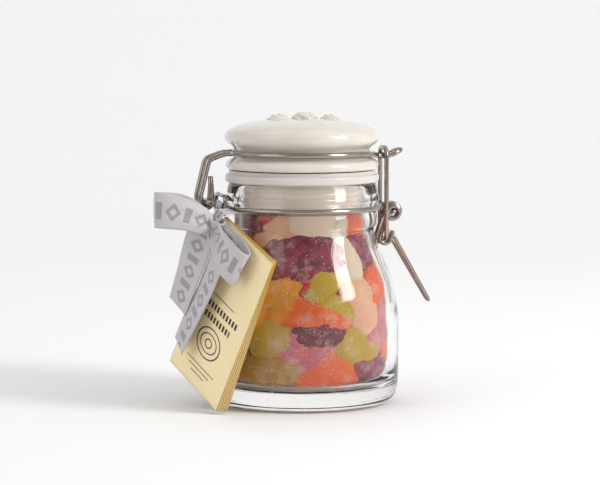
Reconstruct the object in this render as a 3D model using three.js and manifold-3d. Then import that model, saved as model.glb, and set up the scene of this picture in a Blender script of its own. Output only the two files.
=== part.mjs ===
// Clip-top preserving jar filled with sugared fruit jellies, with a card tag tied to its hinge by a ribbon.
// Units are millimetres and +Z is up. The origin is the centre of the base.
// +X points at the latch, -X at the hinge.
import * as THREE from 'three';
import { mergeVertices } from 'three/addons/utils/BufferGeometryUtils.js';
import Module from 'manifold-3d';

const wasm = await Module();
wasm.setup();

// ---- driving dimensions -------------------------------------------------------------------------

const FOOT_R = 34;              // flat ring and disc that the jar stands on
const BODY_R = 41.7;            // widest part of the glass
const WALL = 3.3;               // thickness of the glass wall
const SHOULDER_Z = 38;          // where the body starts to close in towards the neck
const STEP_Z = 74.6;            // waist under the neck bead
const STEP_R = 31;
const NECK_BEAD_R = 32.3;       // round bead under the neck wire
const WIRE_SEAT_R = 31.9;       // groove in which the neck wire lies
const NECK_BULGE_R = 33.2;      // bulge over the neck wire
const RIM_R = 31.7;
const RIM_Z = 95.2;
const MOUTH_R = 27.9;           // inside of the neck
const BASE_THICK = 6.6;

const LID_FLANGE_R = 32.7;
const LID_GROOVE_R = 29.1;
const LID_DOME_R = 33.2;
const LID_TOP_Z = 122.6;
const PLUG_R = 26.1;            // part of the lid that goes into the mouth
const PLUG_Z = 85.9;            // lower edge of the plug's rim
const PLUG_HOLLOW_R = 24.5;     // hollow inside the plug's rim
const PLUG_ROOF_Z = 91.5;

const RING_WIRE_R = 1.15;       // radius of the wire of the neck ring and of the lid ring
const LATCH_WIRE_R = 1.0;       // radius of the wire of the lever, the link and the pin
const NECK_RING_R = 33.5;
const NECK_RING_Z = 84.5;
const LID_RING_R = 30.7;
const LID_RING_Z = 108;

const HINGE = { x: -42.6, z: 87.6 };      // axis of the lid, along Y
const HINGE_LEG_Y = 8.8;                  // legs of the neck wire that carry the hinge bar
const LID_ARM_Y = 4.5;                    // arms of the lid wire that curl round the hinge bar
const LEVER_PIVOT = { x: 39.8, z: 82 };   // axis of the lever, along Y
const LINK_PIVOT = { x: 36, z: 70.6 };    // axis of the link in the lever, along Y
const LINK_TOP_Z = 109.7;
const NOSE = { x: 43.6, z: 108.5 };       // tip of the lid wire, which the link hooks over
const NOSE_Y = 3.3;
const EYE_Y = 3.8;                        // the lever's two long eyes
const LINK_Y = 6;
const EAR_Y = 1.4;                        // curled ends of the neck wire that carry the lever's pin
const HANDLE_TIP = { x: 56.2, z: 42.8 };
const HANDLE_WIRE_R = 0.85;
const EYE_STEPS = 6;            // segments in each round end of an eye

// Each card lies behind the last. The fan turns it about the hole, and the splay swings it back about its top
// edge, both in degrees from one card to the next.
const CARD = { width: 44, height: 70, thick: 0.36, gap: 0.32, count: 5, fan: 0.35, splay: 0.3 };
const TAG_CENTRE = new THREE.Vector3(-40.3, -23.2, 41.7);
const TAG_FACES = 203;          // bearing of the tag's front, degrees from +X
const TAG_LEAN = 9.5;           // its front looks up by this much
const TAG_ROLL = -22.7;         // and it hangs turned in its own plane
const RIBBON_WIDTH = 15;
const RIBBON_THICK = 0.8;
const TIE_ALONG = 6.5;          // where the ribbon closes round the hinge's leg, from the neck ring

const JELLY_GAP = 0.5;          // between the jellies and the glass
const FRONT = 258;              // bearing of the side that shows the tag, the hinge and the latch
const FACETS = 40;              // segments round the jar

// ---- shape helpers ------------------------------------------------------------------------------

const rad = THREE.MathUtils.degToRad;
const vec = (x, y, z) => new THREE.Vector3(x, y, z);

// Signed volume of a closed triangle mesh: positive when its faces point outwards.
function signedVolume(positions, triangles) {
  const [a, b, c] = [new THREE.Vector3(), new THREE.Vector3(), new THREE.Vector3()];
  let sum = 0;
  for (let i = 0; i < triangles.length; i += 3) {
    a.fromArray(positions, 3 * triangles[i]);
    b.fromArray(positions, 3 * triangles[i + 1]);
    c.fromArray(positions, 3 * triangles[i + 2]);
    sum += a.dot(b.cross(c));
  }
  return sum / 6;
}

// A closed geometry as a solid: shared corners merged, flat triangles dropped, faces outwards.
function toSolid(geometry) {
  const bare = geometry.clone();
  bare.deleteAttribute('normal');
  bare.deleteAttribute('uv');
  const merged = mergeVertices(bare, 1e-4);
  const positions = merged.attributes.position.array;
  const kept = [];
  for (let i = 0; i < merged.index.count; i += 3) {
    const [a, b, c] = [0, 1, 2].map((k) => merged.index.getX(i + k));
    if (a !== b && b !== c && c !== a) kept.push(a, b, c);
  }
  if (signedVolume(positions, kept) < 0) kept.reverse();
  const mesh = new wasm.Mesh({
    numProp: 3,
    vertProperties: new Float32Array(positions),
    triVerts: new Uint32Array(kept),
  });
  return new wasm.Manifold(mesh);
}

function toGeometry(solid) {
  const mesh = solid.getMesh();
  const geometry = new THREE.BufferGeometry();
  geometry.setAttribute('position', new THREE.BufferAttribute(mesh.vertProperties, 3));
  geometry.setIndex(new THREE.BufferAttribute(mesh.triVerts, 1));
  geometry.computeVertexNormals();
  return geometry;
}

const fuseSolids = (geometries) => geometries.map(toSolid).reduce((all, next) => all.add(next));
const fuse = (geometries) => toGeometry(fuseSolids(geometries));

// The largest closed skin of a solid: hollows sealed inside it are filled and loose scraps dropped.
function outerSkin(solid) {
  return solid.decompose().reduce((best, next) => (next.volume() > best.volume() ? next : best));
}

// A solid of revolution about Z, from [radius, height] pairs.
function turned(profile, segments = FACETS) {
  const points = profile.map(([r, z]) => new THREE.Vector2(r, z));
  return new THREE.LatheGeometry(points, segments).rotateX(Math.PI / 2);
}

// A route is straight from point to point. A section is set at every point, square to the mean direction
// there.
class Route extends THREE.Curve {
  constructor(points) {
    super();
    this.points = points;
  }

  getPoint(t, target = new THREE.Vector3()) {
    const last = this.points.length - 1;
    const at = Math.min(t * last, last);
    const from = Math.min(Math.floor(at + 1e-9), last - 1);
    return target.lerpVectors(this.points[from], this.points[from + 1], at - from);
  }

  getPointAt(t, target) {
    return this.getPoint(t, target);
  }

  getTangentAt(t, target = new THREE.Vector3()) {
    const last = this.points.length - 1;
    const at = Math.round(t * last);
    const here = this.points[at];
    const before = this.points[Math.max(at - 1, 0)];
    const after = this.points[Math.min(at + 1, last)];
    const inward = here.clone().sub(before).normalize();
    const outward = after.clone().sub(here).normalize();
    return target.copy(inward.add(outward)).normalize();
  }
}

// A route through corners, each rounded with its own bend radius. The ends have none.
function bent(corners, radii, perBend = 5) {
  const points = [corners[0]];
  for (let i = 1; i < corners.length - 1; i += 1) {
    const corner = corners[i];
    const back = corners[i - 1].clone().sub(corner).normalize();
    const ahead = corners[i + 1].clone().sub(corner).normalize();
    const half = back.angleTo(ahead) / 2;
    const radius = radii[i - 1];
    const start = corner.clone().addScaledVector(back, radius / Math.tan(half));
    const bisector = back.clone().add(ahead).normalize();
    const centre = corner.clone().addScaledVector(bisector, radius / Math.sin(half));
    const first = start.clone().sub(centre).normalize();
    const second = back.clone().multiplyScalar(-1);
    const sweep = Math.PI - 2 * half;
    for (let k = 0; k <= perBend; k += 1) {
      const angle = (sweep * k) / perBend;
      points.push(centre.clone()
        .addScaledVector(first, radius * Math.cos(angle))
        .addScaledVector(second, radius * Math.sin(angle)));
    }
  }
  points.push(corners[corners.length - 1]);
  return points;
}

// Round wire along a list of points.
function wire(points, radius, sides = 6) {
  const section = new THREE.Shape();
  for (let k = 0; k < sides; k += 1) {
    const angle = (2 * Math.PI * (k + 0.5)) / sides;
    const [x, y] = [radius * Math.cos(angle), radius * Math.sin(angle)];
    if (k === 0) section.moveTo(x, y);
    else section.lineTo(x, y);
  }
  section.closePath();
  const along = { steps: points.length - 1, extrudePath: new Route(points), bevelEnabled: false };
  return new THREE.ExtrudeGeometry(section, along);
}

// Points of an arc in a plane of constant Y, from one angle to another, in degrees from +X towards +Z.
function arcXZ(centre, radius, y, from, to, count) {
  const points = [];
  for (let k = 0; k <= count; k += 1) {
    const angle = rad(from + ((to - from) * k) / count);
    points.push(vec(centre.x + radius * Math.cos(angle), y, centre.z + radius * Math.sin(angle)));
  }
  return points;
}

// A flat band of ribbon through stations { at, across, half }: its middle, the way its width runs, and half
// its width.
function band(stations, thick = RIBBON_THICK) {
  const corners = [];
  stations.forEach((station, i) => {
    const before = stations[Math.max(i - 1, 0)].at;
    const after = stations[Math.min(i + 1, stations.length - 1)].at;
    const along = after.clone().sub(before).normalize();
    const across = station.across.clone();
    across.addScaledVector(along, -across.dot(along)).normalize();
    const out = along.clone().cross(across).normalize();
    [[1, 1], [-1, 1], [-1, -1], [1, -1]].forEach(([side, face]) => {
      corners.push(station.at.clone()
        .addScaledVector(across, side * station.half)
        .addScaledVector(out, (face * thick) / 2));
    });
  });
  const triangles = [0, 2, 1, 0, 3, 2];
  for (let i = 0; i < stations.length - 1; i += 1) {
    for (let k = 0; k < 4; k += 1) {
      const [a, b] = [4 * i + k, 4 * i + ((k + 1) % 4)];
      triangles.push(a, b, b + 4, a, b + 4, a + 4);
    }
  }
  const end = 4 * (stations.length - 1);
  triangles.push(end, end + 1, end + 2, end, end + 2, end + 3);
  const geometry = new THREE.BufferGeometry().setFromPoints(corners);
  geometry.setIndex(triangles);
  return geometry;
}

function material(color, roughness, metalness = 0) {
  return new THREE.MeshStandardMaterial({ color, roughness, metalness });
}

function named(name, geometry, finish) {
  const mesh = new THREE.Mesh(geometry, finish);
  mesh.name = name;
  return mesh;
}

// ---- glass jar ----------------------------------------------------------------------------------

// Outside of the glass, from the foot up to the rim: [radius, height].
const GLASS_OUTSIDE = [
  [FOOT_R, 0],
  [FOOT_R + 3.6, 0.9],
  [FOOT_R + 6, 3.2],
  [BODY_R - 0.4, 7],
  [BODY_R, 12],
  [BODY_R, SHOULDER_Z - 2],
  [BODY_R - 0.6, SHOULDER_Z + 4],
  [40.1, 48],
  [38.6, 53.9],
  [36.5, 59],
  [34.3, 64],
  [32.7, 68.2],
  [31.5, 72],
  [STEP_R, STEP_Z],
  [STEP_R + 0.2, 75.9],
  [NECK_BEAD_R, 77.2],
  [NECK_BEAD_R, 81.2],
  [WIRE_SEAT_R, 82.6],
  [WIRE_SEAT_R, 85.2],
  [NECK_BULGE_R, 87.2],
  [NECK_BULGE_R, 88.4],
  [32.3, 92],
  [RIM_R, 94.8],
  [RIM_R - 0.8, RIM_Z],
];

// Inside of the glass, from the rim down to the floor of the jar.
const GLASS_INSIDE = [
  [MOUTH_R + 0.8, RIM_Z],
  [MOUTH_R, 94.4],
  [MOUTH_R, 77.5],
  [MOUTH_R + 0.5, 73],
  [29.8, 68],
  [33, 60.5],
  [36.6, 50],
  [BODY_R - WALL, 40],
  [BODY_R - WALL, 16],
  [BODY_R - WALL - 1.2, 11.5],
  [33.5, 8.2],
  [0, BASE_THICK],
];

function glassJar() {
  return toGeometry(toSolid(turned([[0, 0], ...GLASS_OUTSIDE, ...GLASS_INSIDE])));
}

// ---- ceramic lid and its seal -------------------------------------------------------------------

function ceramicLid() {
  const body = turned([
    [0, PLUG_ROOF_Z],
    [21, PLUG_ROOF_Z - 0.6],
    [PLUG_HOLLOW_R, PLUG_ROOF_Z - 2.5],
    [PLUG_HOLLOW_R, PLUG_Z],
    [PLUG_R - 0.5, PLUG_Z],
    [PLUG_R, PLUG_Z + 0.9],
    [PLUG_R, 100.95],
    [LID_FLANGE_R - 0.7, 100.95],
    [LID_FLANGE_R, 102],
    [LID_FLANGE_R, 103.4],
    [LID_FLANGE_R - 0.7, 104.8],
    [LID_GROOVE_R + 0.9, 105.7],
    [LID_GROOVE_R, 106.6],
    [LID_GROOVE_R, 109.6],
    [LID_GROOVE_R + 1.4, 111.1],
    [LID_DOME_R - 0.7, 112.8],
    [LID_DOME_R, 114.8],
    [LID_DOME_R - 0.7, 116.8],
    [30.4, 118.4],
    [25.4, 120.4],
    [17, 121.9],
    [0, LID_TOP_Z],
  ]);
  // Raised ornament on the dome: a round fruit of small drupes between two leaves.
  const lump = (x, y, z, rx, ry, rz) => {
    const ball = new THREE.SphereGeometry(1, 12, 6).rotateX(Math.PI / 2);
    return ball.scale(rx, ry, rz).translate(x, y, z);
  };
  const fruit = lump(1, 0, LID_TOP_Z - 0.6, 5.8, 5.8, 3.4);
  const leftLeaf = lump(-10.3, 0.6, LID_TOP_Z - 0.9, 5.3, 3.6, 3.2).rotateZ(rad(4));
  const rightLeaf = lump(12.4, 0.4, LID_TOP_Z - 0.9, 4.9, 3.4, 3);
  return fuse([body, fruit, leftLeaf, rightLeaf]);
}

function gasket() {
  const inner = PLUG_R + 0.6;
  return turned([
    [inner, RIM_Z + 0.3],
    [32.6, RIM_Z + 0.3],
    [33.1, 96.1],
    [33.1, 98.2],
    [32.6, 98.7],
    [31.6, 98.9],
    [31.6, 100.3],
    [31.3, 100.6],
    [inner, 100.6],
    [inner, RIM_Z + 0.3],
  ], 44);
}

// ---- wirework -----------------------------------------------------------------------------------

// The ring under the neck bulge, the bar that carries the hinge, a clip round its legs, and the latch ears.
function neckWire() {
  const ring = new THREE.TorusGeometry(NECK_RING_R, RING_WIRE_R, 6, FACETS).translate(0, 0, NECK_RING_Z);
  const legX = -Math.sqrt(NECK_RING_R ** 2 - HINGE_LEG_Y ** 2);
  const hingeBar = wire(bent([
    vec(legX, -HINGE_LEG_Y, NECK_RING_Z),
    vec(HINGE.x, -HINGE_LEG_Y, HINGE.z),
    vec(HINGE.x, HINGE_LEG_Y, HINGE.z),
    vec(legX, HINGE_LEG_Y, NECK_RING_Z),
  ], [2, 2], 4), RING_WIRE_R);
  const clipX = -35.7;
  const clipZ = 86.2;
  const clipWireR = 0.85;
  const [clipHalfY, clipHalfZ] = [10.3, 3.9];
  const clipSide = (side) => wire(bent([
    vec(clipX, -0.2 * side, clipZ + clipHalfZ * side),
    vec(clipX, clipHalfY * side, clipZ + clipHalfZ * side),
    vec(clipX, clipHalfY * side, clipZ - clipHalfZ * side),
    vec(clipX, -0.2 * side, clipZ - clipHalfZ * side),
    vec(clipX, -clipHalfY * side * 0.5, clipZ - clipHalfZ * side),
  ], [2.2, 2.2, 0.5], 3), clipWireR);
  const earR = 3.3;
  const ears = [-EAR_Y, EAR_Y].flatMap((y) => {
    const curl = arcXZ(LEVER_PIVOT, earR, y, 88, -130, 9);
    const lead = [vec(NECK_RING_R - 0.1, y, NECK_RING_Z), vec(36.6, y, 85)];
    const spoke = [curl[curl.length - 1], vec(LEVER_PIVOT.x, y, LEVER_PIVOT.z)];
    return [wire([...lead, ...curl], LATCH_WIRE_R), wire(spoke, LATCH_WIRE_R)];
  });
  const pinHalf = EYE_Y + LATCH_WIRE_R + 0.05;
  const pin = wire([
    vec(LEVER_PIVOT.x, -pinHalf, LEVER_PIVOT.z),
    vec(LEVER_PIVOT.x, pinHalf, LEVER_PIVOT.z),
  ], LATCH_WIRE_R);
  return fuse([ring, hingeBar, clipSide(1), clipSide(-1), ...ears, pin]);
}

// Half of the lid wire, from the tail at the hinge to the tip of the nose. side is -1 in front, 1 behind.
function lidWireHalf(side) {
  const y = side * LID_ARM_Y;
  const tail = side < 0 ? { lean: -1, rise: 11 } : { lean: 0.9, rise: 8.8 };
  const curlR = RING_WIRE_R * 2 + 0.35;
  const hinge = bent([
    vec(HINGE.x + curlR + tail.lean, y, HINGE.z + tail.rise),
    vec(HINGE.x + curlR, y, HINGE.z - curlR),
    vec(HINGE.x - curlR, y, HINGE.z - curlR),
    vec(HINGE.x - curlR, y, HINGE.z + 2.6),
    vec(HINGE.x + 1.0, y, LID_RING_Z - 2.6),
    vec(-36.4, y, LID_RING_Z - 0.7),
    vec(-33.9, y, LID_RING_Z),
  ], [curlR - 0.01, curlR - 0.01, 3, 3.6, 3], 4);
  // The arm runs in on a fillet outside the ring, round the ring, and out on another fillet to the nose.
  const armBend = 5;
  const noseBend = 4;
  const armX = -Math.sqrt((LID_RING_R + armBend) ** 2 - (LID_ARM_Y + armBend) ** 2);
  const noseX = Math.sqrt((LID_RING_R + noseBend) ** 2 - (NOSE_Y + noseBend) ** 2);
  const armTurn = THREE.MathUtils.radToDeg(Math.atan2(LID_ARM_Y + armBend, -armX));
  const noseTurn = THREE.MathUtils.radToDeg(Math.atan2(NOSE_Y + noseBend, noseX));
  const points = [];
  const push = (cx, cy, radius, from, to, count, zFrom, zTo) => {
    for (let k = 0; k <= count; k += 1) {
      const share = k / count;
      const angle = rad(from + (to - from) * share);
      const z = zFrom + (zTo - zFrom) * share;
      points.push(vec(cx + radius * Math.cos(angle), side * (cy + radius * Math.sin(angle)), z));
    }
  };
  const ringEndZ = LID_RING_Z - 0.7;
  const noseLowZ = 106.1;
  push(armX, LID_ARM_Y + armBend, armBend, -90, -armTurn, 4, LID_RING_Z, LID_RING_Z);
  push(0, 0, LID_RING_R, 180 - armTurn - 7, 50, 12, LID_RING_Z, LID_RING_Z);
  push(0, 0, LID_RING_R, 42, noseTurn, 4, LID_RING_Z - 0.15, ringEndZ);
  push(noseX, NOSE_Y + noseBend, noseBend, 180 + noseTurn + 12, 270, 4, ringEndZ - 0.35, noseLowZ + 0.1);
  const tipR = 2.5;
  const nose = [
    vec(noseX + 2.6, side * NOSE_Y, noseLowZ),
    vec(39.6, side * NOSE_Y * 0.97, noseLowZ + 0.7),
    vec(NOSE.x - tipR, side * NOSE_Y * 0.93, NOSE.z - 0.9),
    vec(NOSE.x - 0.9, side * NOSE_Y * 0.62, NOSE.z - 0.2),
    vec(NOSE.x, 0, NOSE.z),
  ];
  return [...hinge, ...points, ...nose];
}

function lidWire() {
  const front = lidWireHalf(-1);
  const back = lidWireHalf(1).reverse().slice(1);
  return toGeometry(toSolid(wire([...front, ...back], RING_WIRE_R)));
}

// The lever: two long eyes that hang on the pin, and a hairpin handle.
function lever() {
  const eyeR = LATCH_WIRE_R * 2 + 0.35;
  const [dx, dz] = [LEVER_PIVOT.x - LINK_PIVOT.x, LEVER_PIVOT.z - LINK_PIVOT.z];
  const tilt = THREE.MathUtils.radToDeg(Math.atan2(dz, dx));
  const parts = [];
  for (const y of [-EYE_Y, EYE_Y]) {
    const top = arcXZ(LEVER_PIVOT, eyeR, y, tilt - 90, tilt + 90, EYE_STEPS);
    const bottom = arcXZ(LINK_PIVOT, eyeR, y, tilt + 90, tilt + 270, EYE_STEPS);
    // The two halves of an eye overlap on its straight sides.
    const down = bottom[EYE_STEPS].clone().sub(top[0]).multiplyScalar(0.6);
    const up = top[EYE_STEPS].clone().sub(bottom[0]).multiplyScalar(0.6);
    const upper = [top[0].clone().add(down), ...top, top[EYE_STEPS].clone().sub(up)];
    const lower = [bottom[0].clone().add(up), ...bottom, bottom[EYE_STEPS].clone().sub(down)];
    parts.push(wire(upper, LATCH_WIRE_R), wire(lower, LATCH_WIRE_R));
  }
  const tipR = 1.55;
  const handle = bent([
    vec(39.1, -EYE_Y, 73.4),
    vec(40.7, -EYE_Y + 0.1, 69.6),
    vec(HANDLE_TIP.x, -tipR, HANDLE_TIP.z),
    vec(HANDLE_TIP.x, tipR, HANDLE_TIP.z),
    vec(40.7, EYE_Y - 0.1, 69.6),
    vec(39.1, EYE_Y, 73.4),
  ], [2.5, tipR - 0.02, tipR - 0.02, 2.5], 4);
  return fuse([...parts, wire(handle, HANDLE_WIRE_R)]);
}

// The link: an upright loop over the nose, whose feet turn in through the lever's eyes.
function link() {
  const foot = EYE_Y - LATCH_WIRE_R + 0.3;
  return toGeometry(toSolid(wire(bent([
    vec(LINK_PIVOT.x, -foot, LINK_PIVOT.z),
    vec(LINK_PIVOT.x, -LINK_Y, LINK_PIVOT.z),
    vec(LINK_PIVOT.x, -LINK_Y + 0.2, LINK_TOP_Z),
    vec(LINK_PIVOT.x, LINK_Y - 0.2, LINK_TOP_Z),
    vec(LINK_PIVOT.x, LINK_Y, LINK_PIVOT.z),
    vec(LINK_PIVOT.x, foot, LINK_PIVOT.z),
  ], [1.3, 3.6, 3.6, 1.3], 5), LATCH_WIRE_R)));
}

// ---- heap of jellies ----------------------------------------------------------------------------

// Half sizes of each kind of jelly: round the jar, up, and in towards the middle.
const KINDS = {
  berry: [16.5, 13, 9],
  apple: [14, 12.5, 8],
  slice: [17, 10, 8],
  pear: [12, 15, 8],
  plum: [15.5, 11.5, 8.5],
};

// Jellies that show at the front: kind, degrees to the right of the front, height, turn in the wall, size.
const SHOWN = [
  ['berry', 1, 63.5, 0, 1],
  ['slice', 15, 50.5, 42, 0.75],
  ['slice', 6, 41, -4, 1.1],
  ['slice', -17, 49, 15, 0.85],
  ['plum', -4, 51, 0, 0.6],
  ['apple', -21, 30.6, 8, 0.85],
  ['plum', 1, 27.5, -8, 0.95],
  ['berry', 12, 34, 10, 0.7],
  ['slice', -24, 16, 4, 0.95],
  ['plum', 17, 14, -12, 1],
  ['plum', -30, 59, 60, 0.9],
  ['pear', -30, 73.5, 80, 0.9],
  ['plum', -50, 76, 20, 0.8],
  ['slice', 18, 77, 0, 0.9],
  ['pear', 40, 63, 0, 0.9],
  ['pear', 47, 44, 15, 1],
  ['apple', 44, 27, 15, 1],
  ['pear', -42, 42, 0, 1],
];

// Levels of the jellies that the front ones hide: height, count, first bearing.
const LEVELS = [
  [16, 4, 62],
  [30, 3, 70],
  [44, 3, 100],
  [58, 3, 100],
  [70, 2, 100],
];

function seeded(seed) {
  let state = seed;
  return () => {
    state = (state * 16807) % 2147483647;
    return state / 2147483647;
  };
}

// Radius of the inside of the glass at a height.
function insideRadius(z) {
  for (let i = 0; i < GLASS_INSIDE.length - 1; i += 1) {
    const [r1, z1] = GLASS_INSIDE[i];
    const [r2, z2] = GLASS_INSIDE[i + 1];
    if (z <= z1 && z >= z2) return r2 + ((r1 - r2) * (z - z2)) / Math.max(z1 - z2, 1e-6);
  }
  return MOUTH_R;
}

function jellyLump(kind, bearing, z, turn, size = 1) {
  const [across, up, deep] = KINDS[kind].map((half) => half * size);
  const lump = new THREE.IcosahedronGeometry(1, 1);
  lump.scale(deep, across, up).rotateX(rad(turn));
  const lean = Math.atan2(insideRadius(z - 5) - insideRadius(z + 5), 10);
  lump.rotateY(-lean);
  lump.translate(insideRadius(z) - deep * 0.8, 0, 0);
  return lump.rotateZ(rad(FRONT + bearing)).translate(0, 0, z);
}

function jellyHeap() {
  const random = seeded(7);
  const kinds = Object.keys(KINDS);
  const lumps = SHOWN.map((place) => jellyLump(...place));
  LEVELS.forEach(([z, count, first]) => {
    const free = 360 - 2 * first;
    for (let k = 0; k < count; k += 1) {
      const kind = kinds[Math.floor(random() * kinds.length)];
      const bearing = first + (free * k) / Math.max(count - 1, 1);
      lumps.push(jellyLump(kind, bearing, z + 3 * (random() - 0.5), 40 * (random() - 0.5)));
    }
  });
  const core = turned([
    [0, 8.6], [27, 9.4], [30.5, 14], [30.5, 41], [26, 54], [21.5, 66], [20.5, 78], [0, 79.5],
  ], 20);
  const cavity = turned([
    [0, 82.5],
    [MOUTH_R - JELLY_GAP - 3, 82.5],
    [MOUTH_R - JELLY_GAP, 79.5],
    ...GLASS_INSIDE.slice(2, -1).map(([r, z]) => [r - JELLY_GAP, z + JELLY_GAP * 0.6]),
    [0, BASE_THICK + JELLY_GAP],
  ], 20);
  return toGeometry(outerSkin(fuseSolids([core, ...lumps]).intersect(toSolid(cavity))));
}

// ---- tag and ribbon, in the tag's own frame: x across the card, y up it, z out of its front ---------

const HOLE = { x: -16.5, y: 29.5, radius: 2.4 };

function card(index) {
  const outline = new THREE.Shape();
  const [w, h] = [CARD.width / 2, CARD.height / 2];
  outline.moveTo(-w, -h);
  outline.lineTo(w, -h);
  outline.lineTo(w, h);
  outline.lineTo(-w, h);
  outline.closePath();
  const hole = new THREE.Path();
  for (let k = 0; k <= 10; k += 1) {
    const angle = (-2 * Math.PI * k) / 10;
    const [x, y] = [HOLE.x + HOLE.radius * Math.cos(angle), HOLE.y + HOLE.radius * Math.sin(angle)];
    if (k === 0) hole.moveTo(x, y);
    else hole.lineTo(x, y);
  }
  outline.holes.push(hole);
  const sheet = new THREE.ExtrudeGeometry(outline, { depth: CARD.thick, bevelEnabled: false });
  sheet.translate(-HOLE.x, -HOLE.y, 0).rotateZ(rad(CARD.fan * index)).translate(HOLE.x, HOLE.y, 0);
  sheet.translate(0, -h, 0).rotateX(rad(CARD.splay * index)).translate(0, h, 0);
  return sheet.translate(0, 0, -CARD.thick - index * (CARD.thick + CARD.gap));
}

const across = (x, y, z = 0) => vec(x, y, z);
const station = (at, direction, half) => ({ at, across: direction, half });

function ribbon(tagMatrix) {
  const half = RIBBON_WIDTH / 2;
  const intoTag = tagMatrix.clone().invert();
  const world = (x, y, z) => vec(x, y, z).applyMatrix4(intoTag);
  const upright = vec(0, 0, 1).transformDirection(intoTag);
  // The left loop runs out and up from the knot and back, with its width upright.
  const leftLoop = [
    [-43, -19, 78.6, 4],
    [-46.3, -21.3, 80.2, 5.4],
    [-50, -22.2, 81.9, 6],
    [-56, -22.3, 83.8, 6.8],
    [-62.6, -20.6, 85, half],
    [-67, -17, 85.3, half],
    [-63.6, -13.6, 85, half],
    [-56, -12, 84.2, half],
    [-50, -12.8, 82.2, 6.4],
    [-46, -15, 80.2, 5.2],
    [-43.4, -17, 78.8, 4],
  ].map(([x, y, z, w]) => station(world(x, y, z), upright, w));
  // The right loop runs out over the card and back under itself, with its width up the card.
  const rightLoop = [
    [-18, 31.5, 6, 3.6],
    [-8, 29.6, 8.6, 5.4],
    [1.6, 27.4, 10, half],
    [8.6, 26.2, 8.8, half],
    [11.1, 25.7, 6.4, half],
    [8.6, 25.8, 4, half],
    [1.6, 26.9, 2.6, half],
    [-8, 29.6, 2.6, 5.4],
    [-16.6, 31.3, 4, 3.6],
  ].map(([x, y, z, w]) => station(vec(x, y, z), across(0.12, 1), w));
  // The tails hang over the front of the card, with their width across it.
  const wideTail = [
    [-20.5, 30.6, 6.6, 4, 0.45, 0],
    [-22.4, 27.4, 7.4, 6.6, 0.42, -0.2],
    [-23.6, 23.2, 7.4, 7.4, 0.34, -0.32],
    [-24.2, 14, 6.8, 7.4, 0.16, -0.24],
    [-24.8, 4, 5.6, 7.3, 0.08, -0.12],
    [-25.2, -10.2, 4, 7.2, 0.05, -0.04],
  ].map(([x, y, z, w, rise, out]) => station(vec(x, y, z), across(1, rise, out), w));
  const narrowTail = [
    [-17, 30.5, 5, 4, 6],
    [-7.4, 25.5, 5.8, 6, 8],
    [-7.4, 14, 5.2, 7.1, 11],
    [-9.6, 0, 4.6, 7.2, 12],
    [-12.3, -12, 4.2, 7.3, 11],
    [-13.2, -23.3, 4.4, 7.4, 15],
  ].map(([x, y, z, w, twist]) => {
    const turn = rad(twist);
    return station(vec(x, y, z), across(Math.cos(turn), 0.1, Math.sin(turn)), w);
  });
  const knot = new THREE.SphereGeometry(1, 10, 6).scale(4.8, 4.8, 3.6).translate(-19.5, 31, 5.5);
  const stem = wire([vec(HOLE.x, HOLE.y, 5), vec(HOLE.x, HOLE.y, -5.4)], HOLE.radius - 0.7);
  // The ribbon closes round the front leg of the hinge, between the hinge bar and the clip.
  const legEnd = vec(HINGE.x, -HINGE_LEG_Y, HINGE.z);
  const legStart = vec(-Math.sqrt(NECK_RING_R ** 2 - HINGE_LEG_Y ** 2), -HINGE_LEG_Y, NECK_RING_Z);
  const alongLeg = legEnd.clone().sub(legStart).normalize();
  const tieAt = legStart.clone().addScaledVector(alongLeg, TIE_ALONG);
  const [tieInner, tieOuter, tieLength] = [RING_WIRE_R + 0.5, RING_WIRE_R + 1.2, 2.2];
  const tieShape = new THREE.Shape().absarc(0, 0, tieOuter, 0, 2 * Math.PI, false);
  tieShape.holes.push(new THREE.Path().absarc(0, 0, tieInner, 0, 2 * Math.PI, true));
  const tieForm = { depth: tieLength, bevelEnabled: false, curveSegments: 7 };
  const tieRing = new THREE.ExtrudeGeometry(tieShape, tieForm);
  const toLeg = new THREE.Quaternion().setFromUnitVectors(vec(0, 0, 1), alongLeg);
  tieRing.translate(0, 0, -tieLength / 2).applyQuaternion(toLeg);
  tieRing.translate(tieAt.x, tieAt.y, tieAt.z).applyMatrix4(intoTag);
  const legAcross = alongLeg.clone().transformDirection(intoTag);
  const tieLead = band([
    station(world(tieAt.x - 0.5, tieAt.y - 1.5, tieAt.z - 1.5), legAcross, tieLength / 2),
    station(world(-39.7, -13.3, 82.1), legAcross, 1.6),
    station(world(-41.6, -16.4, 79.2), legAcross, 2),
  ]);
  const back = band([
    station(vec(HOLE.x + 1, HOLE.y - 1, -5.2), across(0.7, 0.7), 2.6),
    station(vec(-20.2, 37.2, -5.2), across(0.9, 0.45), 2.4),
    station(vec(-20.8, 38.2, -1), across(1, 0), 2),
    station(vec(-20.6, 37.2, 2.6), across(1, 0), 2),
    station(vec(-19.8, 33.4, 4.8), across(1, 0), 2),
  ]);
  return fuse([
    band(leftLoop), band(rightLoop), band(wideTail), band(narrowTail), knot, stem, tieRing, tieLead, back,
  ]);
}

// ---- assembly -----------------------------------------------------------------------------------

const glass = material('#dfe8e6', 0.05);
glass.transparent = true;
glass.opacity = 0.35;
const ceramic = material('#e6ddd0', 0.2);
const silicone = material('#d8d2cd', 0.5);
const steel = material('#b9b2ab', 0.25, 1);
const jelly = material('#c9782f', 0.6);
const cardStock = material('#ded0a5', 0.8);
const grosgrain = material('#cdc6cd', 0.8);

const jar = new THREE.Group();
jar.add(named('glass_jar', glassJar(), glass));
jar.add(named('neck_wire', neckWire(), steel));
jar.add(named('jelly_heap', jellyHeap(), jelly));

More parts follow.
